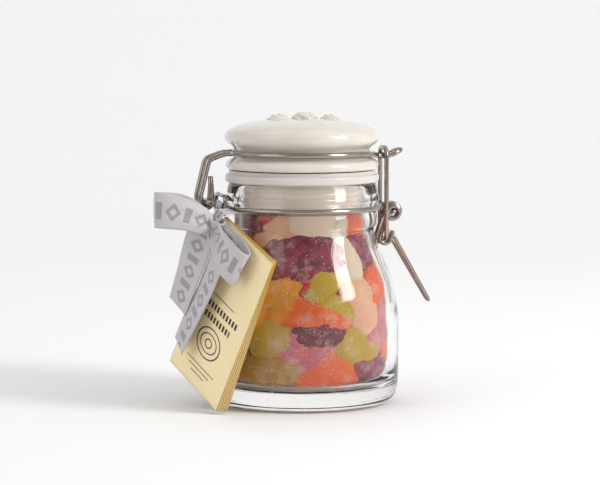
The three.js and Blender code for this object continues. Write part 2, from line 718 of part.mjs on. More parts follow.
const tagTurn = new THREE.Group();
tagTurn.position.copy(TAG_CENTRE);
tagTurn.rotation.z = rad(TAG_FACES + 90);
const tagLean = new THREE.Group();
tagLean.rotation.x = rad(90 - TAG_LEAN);
const tag = new THREE.Group();
tag.rotation.z = rad(TAG_ROLL);
tagLean.add(tag);
tagTurn.add(tagLean);
jar.add(tagTurn);
jar.updateMatrixWorld(true);
for (let i = 0; i < CARD.count; i += 1) {
  tag.add(named(`tag_card_${i + 1}`, card(i), cardStock));
}
tag.add(named('ribbon', ribbon(tag.matrixWorld), grosgrain));

const lid = new THREE.Group();
lid.add(named('ceramic_lid', ceramicLid(), ceramic));
lid.add(named('gasket', gasket(), silicone));
lid.add(named('lid_wire', lidWire(), steel));

const latch = new THREE.Group();
latch.add(named('lever_wire', lever(), steel));
latch.add(named('link_wire', link(), steel));

const assembly = new THREE.Group();
assembly.add(jar, lid, latch);

export default assembly;
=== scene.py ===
"""A clip-top preserving jar of sugared fruit jellies, with a ceramic lid, wires, a card tag and a ribbon bow.

The script follows the jar as it is put together. Sizes are written in millimetres and meshes are in metres.
The origin is the centre of the base, +Z is up, +X is the latch and -X the hinge.
"""

import math

import bmesh
import bpy
import numpy as np
from mathutils import Euler, Matrix, Vector


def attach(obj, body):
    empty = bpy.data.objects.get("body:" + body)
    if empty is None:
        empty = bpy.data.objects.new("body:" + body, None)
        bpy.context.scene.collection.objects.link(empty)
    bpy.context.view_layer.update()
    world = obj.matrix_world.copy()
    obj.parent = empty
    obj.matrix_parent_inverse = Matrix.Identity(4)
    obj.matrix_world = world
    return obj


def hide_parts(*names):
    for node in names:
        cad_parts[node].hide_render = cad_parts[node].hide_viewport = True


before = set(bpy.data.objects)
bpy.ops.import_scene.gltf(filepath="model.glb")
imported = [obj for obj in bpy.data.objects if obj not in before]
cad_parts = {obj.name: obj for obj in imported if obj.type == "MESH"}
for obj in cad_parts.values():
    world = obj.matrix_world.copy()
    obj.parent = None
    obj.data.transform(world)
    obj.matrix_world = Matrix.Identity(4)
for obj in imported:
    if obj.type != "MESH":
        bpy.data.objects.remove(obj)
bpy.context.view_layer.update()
MM = 0.001

# ---- camera ---------------------------------------------------------------------------------------
# The view that the jar is seen from: a long lens a little over a metre away, slightly above the lid. The
# hinge and its tag are on the left, the latch is on the right, and the jar is turned 12 degrees.

VIEW_TURN = math.radians(12)
CAMERA_BACK = 1144 * MM
CAMERA_UP = 171 * MM
CAMERA_ASIDE = -0.9 * MM
CAMERA_PITCH = math.radians(5.1)
CAMERA_LENS = 159.6
SENSOR_WIDTH = 36
SIGHT_REACH = 20000 * MM


def from_view(x, y, z):
    """A place given across, away and up as seen by the camera, turned into the jar's own axes."""
    c, s = math.cos(VIEW_TURN), math.sin(VIEW_TURN)
    return Vector((x * c + y * s, -x * s + y * c, z))


camera = bpy.data.objects.new("camera", bpy.data.cameras.new("camera"))
camera.data.lens = CAMERA_LENS
camera.data.sensor_width = SENSOR_WIDTH
camera.data.clip_end = SIGHT_REACH
camera.location = from_view(CAMERA_ASIDE, -CAMERA_BACK, CAMERA_UP)
camera.rotation_euler = Euler((math.pi / 2 - CAMERA_PITCH, 0, -VIEW_TURN))
bpy.context.scene.collection.objects.link(camera)
bpy.context.scene.camera = camera

# ---- glass jar ------------------------------------------------------------------------------------
# A pressed glass jar with a thick base, straight body, rounded shoulder and a beaded neck. The wall is about
# 3.3 mm thick and the base about 6 mm.

# Radius and height, from the middle of the foot up to the rim, and then down the inside.
GLASS_OUTSIDE = [
    (0, 0.7), (26, 0.7), (29, 0.5), (31, 0.05), (34.4, 0), (37.6, 0.8), (40, 3), (41.4, 7), (41.7, 12),
    (41.7, 24), (41.7, 36), (41.1, 42),
    (40.1, 48), (38.6, 53.9), (36.5, 59), (34.3, 64), (32.7, 68.2), (31.5, 72), (31, 74.2), (31, 75.4),
    (31.2, 76.1), (32.1, 76.7), (32.35, 78), (32.35, 80.5), (32.1, 81.8), (31.9, 82.8), (31.8, 85.1),
    (32.6, 86.2), (33.3, 87.3), (33.3, 88.4), (32.9, 90), (32.3, 92.2), (31.9, 94.2), (31.4, 95.2),
    (30.2, 95.25),
]
GLASS_INSIDE = [
    (28.9, 95.25), (28, 94.7), (27.9, 93), (27.9, 84), (27.9, 77.5), (28.4, 73), (29.8, 68), (33, 60.5),
    (36.4, 51.5), (38.1, 44), (38.4, 38), (38.4, 26), (38.4, 16), (37.2, 11.5), (33.5, 8.4), (24, 7.1),
    (0, 6.6),
]


def srgb(red, green, blue):
    """A colour from 0 to 255 on a screen, as the linear light that materials use."""
    v = np.array([red, green, blue], float) / 255
    linear = np.where(v <= 0.04045, v / 12.92, ((v + 0.055) / 1.055) ** 2.4)
    return (*linear.tolist(), 1.0)


def softened(points, passes, closed=False):
    """Corner cutting: each pass puts two points a quarter and three quarters along every side of the line."""
    line = np.asarray(points, float)
    for _ in range(passes):
        ahead = np.roll(line, -1, axis=0) if closed else line[1:]
        here = line if closed else line[:-1]
        pairs = np.stack([0.75 * here + 0.25 * ahead, 0.25 * here + 0.75 * ahead], axis=1)
        cut = pairs.reshape(-1, line.shape[1])
        line = cut if closed else np.vstack([line[:1], cut[1:-1], line[-1:]])
    return line


def grid_faces(rows, columns, wrap_rows=False, wrap_columns=True):
    """Four-cornered faces over a grid of points, closed round either way where asked."""
    index = np.arange(rows * columns).reshape(rows, columns)
    if wrap_rows:
        index = np.vstack([index, index[:1]])
    if wrap_columns:
        index = np.hstack([index, index[:, :1]])
    quads = [index[:-1, :-1], index[1:, :-1], index[1:, 1:], index[:-1, 1:]]
    return np.stack(quads, axis=-1).reshape(-1, 4)


def piece_of(name, parts, body, replaces):
    """A piece joined from parts, each (points, faces, uv or None): doubles merged, faces turned outwards."""
    points = np.concatenate([p for p, _, _ in parts])
    starts = np.cumsum([0] + [len(p) for p, _, _ in parts])
    mesh = bpy.data.meshes.new(name)
    faces = [face for (_, its_faces, _), start in zip(parts, starts)
             for face in (np.asarray(its_faces) + start).tolist()]
    mesh.from_pydata((points * MM).tolist(), [], faces)
    if all(uv is not None for _, _, uv in parts):
        layer = mesh.uv_layers.new(name="UVMap")
        corner = np.empty(len(mesh.loops), np.int32)
        mesh.loops.foreach_get("vertex_index", corner)
        at_corners = np.concatenate([uv for _, _, uv in parts])[corner]
        layer.data.foreach_set("uv", at_corners.astype(np.float32).ravel())
    work = bmesh.new()
    work.from_mesh(mesh)
    bmesh.ops.remove_doubles(work, verts=work.verts, dist=1e-7)
    bmesh.ops.dissolve_degenerate(work, edges=work.edges, dist=1e-8)
    bmesh.ops.recalc_face_normals(work, faces=work.faces)
    work.to_mesh(mesh)
    work.free()
    mesh.polygons.foreach_set("use_smooth", np.ones(len(mesh.polygons), bool))
    piece = bpy.data.objects.new(name, mesh)
    bpy.context.scene.collection.objects.link(piece)
    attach(piece, body)
    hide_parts(*replaces)
    return piece


def turned(profile, columns=128, closed=False):
    """A profile of (radius, height) spun round Z: x = r cos a, y = r sin a, z = h, for even steps of a."""
    line = np.asarray(profile, float)
    angle = np.linspace(0, 2 * np.pi, columns, endpoint=False)
    radius, height = line[:, :1], line[:, 1:]
    grid = np.stack([radius * np.cos(angle), radius * np.sin(angle), height + 0 * angle], axis=-1)
    return grid.reshape(-1, 3), grid_faces(len(line), columns, wrap_rows=closed), None


def shader(name, **values):
    """A material whose principled shader has these values set on its own sockets."""
    material = bpy.data.materials.new(name)
    material.use_nodes = True
    nodes, links = material.node_tree.nodes, material.node_tree.links
    principled = nodes["Principled BSDF"]
    for socket, value in values.items():
        principled.inputs[socket.replace("_", " ")].default_value = value
    return material, nodes, links, principled


def noise(nodes, links, scale, detail=3.0, roughness=0.5, where="Object", stretch=(1, 1, 1)):
    """A noise texture over the piece's own coordinates, scaled per metre and stretched along them."""
    place = nodes.new("ShaderNodeTexCoord")
    mapping = nodes.new("ShaderNodeMapping")
    mapping.inputs["Scale"].default_value = stretch
    texture = nodes.new("ShaderNodeTexNoise")
    texture.inputs["Scale"].default_value = scale
    texture.inputs["Detail"].default_value = detail
    texture.inputs["Roughness"].default_value = roughness
    links.new(place.outputs[where], mapping.inputs["Vector"])
    links.new(mapping.outputs["Vector"], texture.inputs["Vector"])
    return texture


def bump(nodes, links, principled, height, strength, distance):
    """Relief from a height between 0 and 1, this deep in metres."""
    node = nodes.new("ShaderNodeBump")
    node.inputs["Strength"].default_value = strength
    node.inputs["Distance"].default_value = distance
    links.new(height, node.inputs["Height"])
    links.new(node.outputs["Normal"], principled.inputs["Normal"])


def calc(nodes, links, operation, *values):
    """One sum on numbers or on other nodes' outputs."""
    node = nodes.new("ShaderNodeMath")
    node.operation = operation
    for socket, value in zip(node.inputs, values):
        if isinstance(value, (int, float)):
            socket.default_value = value
        else:
            links.new(value, socket)
    return node.outputs[0]


def near(nodes, links, value, centre, half):
    """1 where a value lies within half of a centre, else 0."""
    away = calc(nodes, links, "ABSOLUTE", calc(nodes, links, "SUBTRACT", value, centre))
    return calc(nodes, links, "LESS_THAN", away, half)


def blend(nodes, links, share, first, second):
    """Two colours, or outputs that give one, mixed by a share between 0 and 1."""
    node = nodes.new("ShaderNodeMix")
    node.data_type = "RGBA"
    for socket, value in (("Factor", share), ("A", first), ("B", second)):
        if isinstance(value, (int, float, tuple)):
            node.inputs[socket].default_value = value
        else:
            links.new(value, node.inputs[socket])
    return node.outputs["Result"]


def ramp(nodes, links, value, stops):
    """Colours at places between 0 and 1, read by a value."""
    node = nodes.new("ShaderNodeValToRGB")
    elements = node.color_ramp.elements
    elements[0].position, elements[0].color = stops[0]
    elements[1].position, elements[1].color = stops[-1]
    for position, color in stops[1:-1]:
        elements.new(position).color = color
    links.new(value, node.inputs["Fac"])
    return node


glass_profile = softened(GLASS_OUTSIDE + GLASS_INSIDE, passes=2)
jar_glass = piece_of("jar_glass", [turned(glass_profile)], "jar", ["glass_jar"])
glass, nodes, links, principled = shader(
    "clear_pressed_glass", Base_Color=(0.985, 0.985, 0.98, 1), Roughness=0.02, IOR=1.4,
    Transmission_Weight=1.0)
waver = noise(nodes, links, scale=55, detail=2.0)
bump(nodes, links, principled, waver.outputs["Fac"], strength=0.25, distance=0.0006)
jar_glass.data.materials.append(glass)

# ---- fruit jellies --------------------------------------------------------------------------------
# Soft pectin jellies of five fruit shapes, tipped into the jar so that they lie at all angles and press flat
# against the glass. They are rolled in caster sugar, which shows as a pale crust and as loose bright grains.

# The way that the front of the jar faces, in degrees about Z from +X.
FRONT = 258
# Half the size of each kind: across the glass, up it and away from it.
JELLY_KINDS = {"berry": (16.5, 13, 9), "apple": (14, 12.5, 8), "slice": (17, 10, 8), "pear": (12, 15, 8),
               "plum": (15.5, 11.5, 8.5)}
JELLY_COLOURS = {
    "berry": srgb(164, 42, 74), "purple": srgb(134, 14, 32), "green": srgb(208, 168, 0),
    "olive": srgb(196, 136, 10), "orange": srgb(255, 102, 0), "amber": srgb(255, 160, 0),
    "red": srgb(206, 30, 26), "peach": srgb(255, 190, 150), "magenta": srgb(226, 104, 118),
    "cream": srgb(255, 226, 198),
}
# Kind, colour, degrees to the right of the front, height, turn in the wall, size.
SHOWN_JELLIES = [
    ("berry", "berry", 0, 62.5, 0, 1.16), ("slice", "green", 15, 50.5, 42, 0.75),
    ("slice", "orange", 6, 41, -4, 1.1), ("slice", "amber", -17, 49, 15, 0.85),
    ("plum", "red", -4, 51, 0, 0.6), ("apple", "green", -21, 30.6, 8, 0.85),
    ("plum", "magenta", 1, 27.5, -8, 0.95), ("berry", "purple", 12, 34, 10, 0.7),
    ("slice", "olive", -24, 16, 4, 0.95), ("plum", "orange", 17, 14, -12, 1),
    ("plum", "magenta", -30, 59, 60, 0.9), ("pear", "peach", -30, 73.5, 80, 0.9),
    ("plum", "red", -50, 76, 20, 0.8), ("slice", "cream", 18, 77, 0, 0.9),
    ("pear", "cream", 40, 63, 0, 0.9), ("pear", "peach", 47, 44, 15, 1),
    ("apple", "green", 44, 27, 15, 1), ("pear", "amber", -42, 42, 0, 1),
]
# Levels round the back: height, number of jellies, and degrees from the front to the first and to the last.
HIDDEN_LEVELS = [
    (16, 4, 62), (30, 3, 70), (44, 3, 100), (58, 3, 100), (70, 2, 100), (18, 3, 101), (24, 4, 88),
    (37, 5, 80), (47, 4, 124), (52, 4, 78), (65, 4, 74), (66, 3, 130), (76, 5, 72),
]
KIND_COLOURS = {
    "berry": ["berry", "purple"], "apple": ["green", "olive"], "slice": ["orange", "amber", "red"],
    "pear": ["peach", "cream"], "plum": ["magenta", "red", "orange"],
}
HIDDEN_RISE = 3
HIDDEN_TURN = 40
# A multiplying generator of draws between 0 and 1, the same each run.
DRAW_SEED, DRAW_FACTOR, DRAW_MODULUS = 7, 16807, 2147483647


def inside_radius(height):
    """The radius of the inside of the glass at each height."""
    line = np.array(GLASS_INSIDE[::-1])
    return np.interp(height, line[:, 1], line[:, 0])


def ball(rows=40, columns=64):
    """Directions over a sphere, pole to pole along z: (sin p cos a, sin p sin a, cos p)."""
    p = np.linspace(0, np.pi, rows)[:, None]
    a = np.linspace(0, 2 * np.pi, columns, endpoint=False)[None, :]
    grid = np.stack([np.sin(p) * np.cos(a), np.sin(p) * np.sin(a), np.cos(p) + 0 * a], axis=-1)
    return grid.reshape(-1, 3), grid_faces(rows, columns)


def spread(count):
    """Even directions over a sphere, one a golden angle further round than the last."""
    k = np.arange(count) + 0.5
    z = 1 - 2 * k / count
    a = np.pi * (1 + 5 ** 0.5) * k
    flat = np.sqrt(1 - z ** 2)
    return np.stack([flat * np.cos(a), flat * np.sin(a), z], axis=-1)


def uneven(d, seed, size=0.03):
    """Soft unevenness: a product of three slow waves along fixed slanting directions."""
    phase = np.array([1.7, 2.9, 4.1]) * seed
    wave = np.sin(d @ np.array([[4.1, 1.3, 2.0], [1.1, 5.2, 2.4], [2.2, 1.4, 4.6]]) + phase)
    return 1 + size * wave.sum(axis=1)


def domed(d, count, base, rise, spread_by):
    """A dome round each of a spread of directions, at an angle a: base + rise sqrt(1 - (a / spread_by)^2)."""
    nearest = np.arccos(np.clip((d @ spread(count).T).max(axis=1), -1, 1))
    return base + rise * np.sqrt(np.clip(1 - (nearest / spread_by) ** 2, 0, 1))


def jelly_form(kind, seed):
    """A jelly of unit size about its middle, x towards the glass, from the directions of a ball.

    berry: a domed drupelet round each of a spread of directions. apple: a round form with a dimple in its
    face. slice: a half-moon, flat below, with fine ridges. pear: narrower to one end. plum: a groove down
    its face.
    """
    d, faces = ball()
    reach = uneven(d, seed)
    if kind == "berry":
        reach = reach * domed(d, count=56, base=0.84, rise=0.2, spread_by=0.31)
    form = d * reach[:, None]
    if kind == "apple":
        off = np.arccos(np.clip(d @ np.array([0.9, 0.3, 0.3]) / 0.995, -1, 1))
        form -= 0.28 * np.exp(-(off / 0.38) ** 2)[:, None] * np.array([1, 0, 0])
    if kind == "slice":
        form[:, 2] = np.where(form[:, 2] < -0.45, -0.45 - 0.35 * (-0.45 - form[:, 2]), form[:, 2])
        form *= 1 + 0.025 * np.cos(9 * np.arctan2(form[:, 2] + 0.5, form[:, 1]))[:, None]
    if kind == "pear":
        form[:, 1] *= 0.82 - 0.24 * form[:, 2]
    if kind == "plum":
        form[:, 0] -= 0.14 * np.exp(-(form[:, 1] / 0.16) ** 2) * (form[:, 0] > 0)
    return form, faces


def turn_about(axis, angle):
    """The turn about one axis by an angle in radians, as a matrix for columns of points."""
    return np.array(Matrix.Rotation(angle, 3, axis))


WALL_SOFTNESS = 2
WALL_GAP = 0.4
WALL_STEP = 0.17
WALL_STEPS = 7
HEAP_FLOOR, HEAP_TOP = 7.9, 82
LEAN_REACH = 5


def placed_jelly(kind, bearing, height, turn, size, number):
    """A jelly leaned on the wall at a bearing and height, and pressed flat towards the glass.

    A point this far out ends at limit - s log(1 + exp((limit - out) / s)), so the relief fades and never
    passes the limit. Neighbours stop a little apart, one in front of the other.
    """
    across, up, deep = np.array(JELLY_KINDS[kind]) * size
    form, faces = jelly_form(kind, number + 1)
    inward = inside_radius(height - LEAN_REACH) - inside_radius(height + LEAN_REACH)
    lean = math.atan2(inward, 2 * LEAN_REACH)
    points = form * (deep, across, up) @ turn_about("X", math.radians(turn)).T @ turn_about("Y", -lean).T
    points[:, 0] += inside_radius(height) - deep * 0.9
    points = points @ turn_about("Z", math.radians(FRONT + bearing)).T + (0, 0, height)
    points[:, 2] = np.clip(points[:, 2], HEAP_FLOOR, HEAP_TOP)
    out = np.hypot(points[:, 0], points[:, 1])
    limit = inside_radius(points[:, 2]) - WALL_GAP - WALL_STEP * (number % WALL_STEPS)
    pressed = limit - WALL_SOFTNESS * np.logaddexp(0, (limit - out) / WALL_SOFTNESS)
    points[:, :2] *= (pressed / np.maximum(out, 0.01))[:, None]
    return points, faces


def jelly_places():
    """Kind, colour, bearing, height, turn and size of every jelly: those in front, then the levels behind."""
    state = DRAW_SEED
    places = list(SHOWN_JELLIES)
    kinds = list(JELLY_KINDS)
    for height, count, first in HIDDEN_LEVELS:
        for k in range(count):
            draws = []
            for _ in range(3):
                state = state * DRAW_FACTOR % DRAW_MODULUS
                draws.append(state / DRAW_MODULUS)
            kind = kinds[int(draws[0] * len(kinds))]
            colours = KIND_COLOURS[kind]
            bearing = first + (360 - 2 * first) * k / max(count - 1, 1)
            places.append((kind, colours[k % len(colours)], bearing, height + HIDDEN_RISE * (draws[1] - 0.5),
                           HIDDEN_TURN * (draws[2] - 0.5), 1))
    return places


def tint(piece, colours):
    """One colour on every corner of the mesh, kept as the attribute 'tint'."""
    layer = piece.data.color_attributes.new("tint", "FLOAT_COLOR", "POINT")
    layer.data.foreach_set("color", np.asarray(colours, np.float32).ravel())


SUGAR_PALE, SUGAR_SHARE = srgb(255, 236, 216), 0.34
# Painted shade: the berry's colour is darkened towards this, by this share, in the creases between its
# drupelets.
CREASE_SHADE_COLOUR, CREASE_SHADE_SHARE = srgb(70, 10, 34), 0.6
DRUPELETS_PER_METRE = 270
DRUPELET_RISE = 1.6


def sugared(name, drupelets):
    """Jelly under sugar: the piece's tint, paler in grains where the sugar lies thick, with a grainy relief.

    Drupelets are the cells round scattered points, domed to the middle, and darker in the creases between
    them, where shade is painted into the colour.
    """
    material, nodes, links, principled = shader(
        name, Roughness=0.42, Subsurface_Weight=0.25, Subsurface_Scale=1.0,
        Subsurface_Radius=(0.003, 0.0018, 0.001), IOR=1.42)
    colour = nodes.new("ShaderNodeAttribute")
    colour.attribute_name = "tint"
    grains = noise(nodes, links, scale=1100, detail=4.0, roughness=0.7)
    patches = noise(nodes, links, scale=140)
    cover = calc(nodes, links, "ADD", grains.outputs["Fac"], patches.outputs["Fac"])
    share = calc(nodes, links, "MULTIPLY", cover, 0.5)
    share = ramp(nodes, links, share, [(0.5, (0, 0, 0, 1)), (0.6, (1, 1, 1, 1))])
    pale = blend(nodes, links, SUGAR_SHARE, colour.outputs["Color"], SUGAR_PALE)
    mixed = blend(nodes, links, share.outputs["Color"], colour.outputs["Color"], pale)
    height = grains.outputs["Fac"]
    if drupelets:
        cells = nodes.new("ShaderNodeTexVoronoi")
        cells.inputs["Scale"].default_value = DRUPELETS_PER_METRE
        coords = nodes.new("ShaderNodeTexCoord")
        links.new(coords.outputs["Object"], cells.inputs["Vector"])
        # Painted shade: darker towards each cell's edge, in the creases between the drupelets.
        crease_shade_mask = ramp(nodes, links, cells.outputs["Distance"], [(0.4, (0, 0, 0, 1)), (0.8, (1, 1, 1, 1))])
        dark = blend(nodes, links, CREASE_SHADE_SHARE, colour.outputs["Color"], CREASE_SHADE_COLOUR)
        mixed = blend(nodes, links, crease_shade_mask.outputs["Color"], mixed, dark)
        height = calc(nodes, links, "MULTIPLY_ADD", cells.outputs["Distance"], -DRUPELET_RISE, height)
    links.new(mixed, principled.inputs["Base Color"])
    bump(nodes, links, principled, height, strength=0.7, distance=0.0008)
    return material


jelly_surfaces = []
for kind in JELLY_KINDS:
    parts, own_colours = [], []
    for number, (its_kind, colour, *place) in enumerate(jelly_places()):
        if its_kind != kind:
            continue
        points, faces = placed_jelly(kind, *place, number)
        parts.append((points, faces, None))
        own_colours.append(JELLY_COLOURS[colour])
        jelly_surfaces.append(points)
    piece = piece_of(f"jellies_{kind}", parts, "jar", ["jelly_heap"])
    merged = np.empty(len(piece.data.vertices) * 3, np.float32)
    piece.data.vertices.foreach_get("co", merged)
    merged = merged.reshape(-1, 3)
    centres = np.array([points.mean(axis=0) for points, _, _ in parts]) * MM
    belongs = np.argmin(((merged[:, None] - centres[None]) ** 2).sum(-1), axis=1)
    tint(piece, np.array(own_colours)[belongs])
    piece.data.materials.append(sugared(f"sugared_{kind}", drupelets=kind == "berry"))

# A plain core closes the middle of the heap, behind the jellies at the wall.
core_profile = softened([
    (0, 8.6), (27, 9.4), (30.5, 14), (30.5, 41), (26, 54), (21.5, 66), (20.5, 77), (0, 79)], passes=2)
jelly_core = piece_of("jelly_core", [turned(core_profile, columns=48)], "jar", ["jelly_heap"])
core_skin, nodes, links, principled = shader("jelly_shade", Roughness=0.6)
blotch = noise(nodes, links, scale=60)
hues = ramp(nodes, links, blotch.outputs["Fac"], [
    (0.35, srgb(170, 50, 30)), (0.5, srgb(230, 110, 20)), (0.65, srgb(226, 150, 30))])
links.new(hues.outputs["Color"], principled.inputs["Base Color"])
jelly_core.data.materials.append(core_skin)

# Sugar grains: small cubes laid over the jellies at random, each turned its own way.
SUGAR_COUNT = 14000
SUGAR_SIZE = (0.16, 0.36)
SUGAR_SCATTER = 0.35
SUGAR_WALL_GAP = 0.45
rng = np.random.default_rng(5)
over = np.concatenate(jelly_surfaces)
chosen = over[rng.integers(0, len(over), SUGAR_COUNT)] + rng.normal(0, SUGAR_SCATTER, (SUGAR_COUNT, 3))
out = np.hypot(chosen[:, 0], chosen[:, 1])
chosen[:, :2] *= np.minimum(1, (inside_radius(chosen[:, 2]) - SUGAR_WALL_GAP) / out)[:, None]
corner = np.array([(x, y, z) for x in (-0.5, 0.5) for y in (-0.5, 0.5) for z in (-0.5, 0.5)])
sides = np.array([(0, 1, 3, 2), (4, 6, 7, 5), (0, 4, 5, 1), (2, 3, 7, 6), (0, 2, 6, 4), (1, 5, 7, 3)])
spin = rng.normal(size=(SUGAR_COUNT, 3, 3))
spin = np.linalg.qr(spin)[0]
size = rng.uniform(*SUGAR_SIZE, (SUGAR_COUNT, 1, 1))
grains = chosen[:, None] + (corner[None] * size) @ spin
grain_faces = (sides[None] + 8 * np.arange(SUGAR_COUNT)[:, None, None]).reshape(-1, 4)
sugar = piece_of("sugar_grains", [(grains.reshape(-1, 3), grain_faces, None)], "jar", ["jelly_heap"])
sugar.data.polygons.foreach_set("use_smooth", np.zeros(len(sugar.data.polygons), bool))
crystal, nodes, links, principled = shader(
    "sugar_crystal", Base_Color=srgb(250, 244, 236), Roughness=0.15, IOR=1.5)
sugar.data.materials.append(crystal)

# ---- seal and ceramic lid -------------------------------------------------------------------------
# A cloudy white silicone ring sits on the rim. The lid is cream glazed stoneware: a ribbed plug that goes
# down into the neck, a rounded flange on the seal, a groove for the wire, and a shallow dome with a raised
# fruit ornament.

seal_profile = softened([
    (26.7, 95.5), (32.5, 95.5), (33.1, 95.7), (33.1, 98.6), (32.6, 98.8), (31.7, 98.9), (31.6, 99.2),
    (31.6, 100.4), (31.2, 100.6), (26.7, 100.6)], passes=2, closed=True)
seal = piece_of("silicone_seal", [turned(seal_profile, closed=True)], "lid", ["gasket"])
silicone, nodes, links, principled = shader(
    "cloudy_silicone", Base_Color=srgb(208, 200, 196), Roughness=0.28, Subsurface_Weight=0.3,
    Subsurface_Radius=(0.004, 0.004, 0.004), Subsurface_Scale=1.0, IOR=1.41)
seal.data.materials.append(silicone)

LID_PROFILE = [
    (0, 91.5), (18, 91.2), (21.5, 90.6), (23.8, 89.6), (24.5, 88), (24.6, 86.2), (25, 85.9), (25.7, 85.95),
    (26.1, 86.7), (26.1, 88), (25.7, 88.5), (26.1, 89), (26.1, 90.6), (25.7, 91.1), (26.1, 91.6),
    (26.1, 93.2), (25.7, 93.7), (26.1, 94.2), (26.1, 96), (26.1, 100.95),
    (29, 100.95), (31.9, 100.95), (32.6, 101.2), (32.95, 102.4), (32.9, 103.6), (32, 104.8), (30.2, 105.6),
    (29.2, 106.2), (29.05, 108), (29.2, 109.8), (30.2, 110.8), (32, 112), (33.25, 113.4), (33.55, 115),
    (32.9, 116.9), (31.1, 118.3), (28.2, 119.6), (24, 120.8), (17, 121.95), (9, 122.5), (0, 122.6)]
lid_line = softened(LID_PROFILE, passes=2)
lid_top = piece_of("lid_dome", [turned(lid_line, columns=144)], "lid", ["ceramic_lid"])
glaze, nodes, links, principled = shader(
    "cream_glaze", Roughness=0.16, IOR=1.5, Coat_Weight=0.6, Coat_Roughness=0.04, Subsurface_Weight=0.12,
    Subsurface_Radius=(0.003, 0.0025, 0.002), Subsurface_Scale=1.0)
cloud = noise(nodes, links, scale=60)
cream = ramp(nodes, links, cloud.outputs["Fac"], [(0.3, srgb(208, 201, 190)), (0.7, srgb(217, 210, 200))])
# The plug, below the flange, is a lighter and warmer tone: partly a paler unglazed plug, and partly painted
# light that brightens it where it is seen behind the glass in the dim neck.
PLUG_MIDDLE, PLUG_HALF = 93, 7.5
PLUG_TONE_AND_PAINTED_LIGHT = srgb(246, 228, 212)
coords = nodes.new("ShaderNodeTexCoord")
split = nodes.new("ShaderNodeSeparateXYZ")
links.new(coords.outputs["Object"], split.inputs["Vector"])
plug = near(nodes, links, split.outputs["Z"], centre=PLUG_MIDDLE * MM, half=PLUG_HALF * MM)
body = blend(nodes, links, plug, cream.outputs["Color"], PLUG_TONE_AND_PAINTED_LIGHT)
links.new(body, principled.inputs["Base Color"])
ripple = noise(nodes, links, scale=90, detail=2.0)
bump(nodes, links, principled, ripple.outputs["Fac"], strength=0.15, distance=0.0003)
lid_top.data.materials.append(glaze)

DOME_TOP = 122.6
DOME_FALL = 0.0022
LEAF_SUNK = 1.2
LEAF_ROOT = 2.4


def slab_faces(rows, columns):
    """Faces of a slab whose points are a front grid and then a back one: both, and the wall round them."""
    front = grid_faces(rows, columns, wrap_columns=False)
    rim = np.concatenate([
        np.arange(columns), columns * np.arange(1, rows - 1) + columns - 1,
        rows * columns - 1 - np.arange(columns), columns * np.arange(rows - 2, 0, -1)])
    ahead = np.roll(rim, -1)
    wall = np.stack([rim, ahead, ahead + rows * columns, rim + rows * columns], axis=-1)
    return np.vstack([front, front[:, ::-1] + rows * columns, wall])


def leaf(x, y, length, width, height, turn, rows=41, columns=25):
    """A pointed leaf: a low veined dome on an outline that narrows as (1 - s^2)^0.65, with a sunk midrib."""
    s = np.linspace(-1, 1, rows)[:, None]
    t = np.linspace(-1, 1, columns)[None, :]
    outline = np.sqrt(np.clip(1 - s ** 2, 0, 1)) ** 1.3
    rise = np.clip(1 - s ** 2, 0, 1) ** 0.6 * np.clip(1 - t ** 2, 0, 1) ** 0.6
    veins = 0.12 * np.cos(12 * (s - 0.5 * np.abs(t)))
    rib = 1 - 0.35 * np.exp(-(t / 0.12) ** 2)
    top = height * rise * (rib + veins * np.clip(1 - t ** 2, 0, 1))
    across = width / 2 * outline * t
    grid = np.stack([length / 2 * s + 0 * t, across, top - LEAF_SUNK], axis=-1).reshape(-1, 3)
    grid = grid @ turn_about("Z", math.radians(turn)).T + (x, y, 0)
    fall = DOME_FALL * (grid[:, 0] ** 2 + grid[:, 1] ** 2)
    grid[:, 2] += DOME_TOP - fall
    under = grid.copy()
    under[:, 2] = DOME_TOP - LEAF_ROOT - fall
    return np.vstack([grid, under]), slab_faces(rows, columns), None


def drupes(x, y, radius, height, count, sunk=0.6):
    """A round fruit of small drupes: a low ball, domed round each of a spread of directions."""
    d, faces = ball(columns=60)
    reach = domed(d, count, base=0.86, rise=0.2, spread_by=0.42)
    return d * reach[:, None] * (radius, radius, height) + (x, y, DOME_TOP - sunk), faces, None


relief = piece_of("lid_relief", [
    drupes(1, 0, 5.6, 3.2, 28), leaf(-10.4, 0.8, 11, 7.6, 3.3, 6), leaf(12.4, 0.4, 9.8, 7.2, 3.1, -5),
], "lid", ["ceramic_lid"])
relief.data.materials.append(glaze)

# ---- wirework -------------------------------------------------------------------------------------
# Drawn stainless wire, bent cold. One wire rings the neck and carries the hinge bar and the latch pin; one
# lies in the lid's groove and curls round the hinge bar; the lever and the link snap the lid's nose down.

RING_WIRE_R = 1.15
LATCH_WIRE_R = 1.0
HANDLE_WIRE_R = 0.85
# Radius and height of the ring, and X and Z of the hinge bar, the lever's pin and the link's foot.
NECK_RING = (33.5, 84.5)
HINGE = (-42.6, 87.6)
HINGE_LEG_Y = 8.8
LEVER_PIVOT = (39.8, 82)
LINK_PIVOT = (36, 70.6)
EYE_R = 2.35


def route(*stretches):
    """Stretches of points joined into one route."""
    return np.vstack([np.asarray(s, float).reshape(-1, 3) for s in stretches])


def bent(corners, radii, steps=10):
    """A line through corners, each rounded by an arc that touches both its sides."""
    corners = np.asarray(corners, float)
    stretches = [corners[:1]]
    for corner, before, after, radius in zip(corners[1:-1], corners[:-2], corners[2:], radii):
        back = (before - corner) / np.linalg.norm(before - corner)
        ahead = (after - corner) / np.linalg.norm(after - corner)
        half = math.acos(np.clip(back @ ahead, -1, 1)) / 2
        middle = (back + ahead) / np.linalg.norm(back + ahead)
        centre = corner + middle * radius / math.sin(half)
        first = corner + back * radius / math.tan(half) - centre
        sweep = np.linspace(0, math.pi - 2 * half, steps + 1)[:, None]
        stretches.append(centre + first * np.cos(sweep) - back * radius * np.sin(sweep))
    return route(*stretches, corners[-1:])


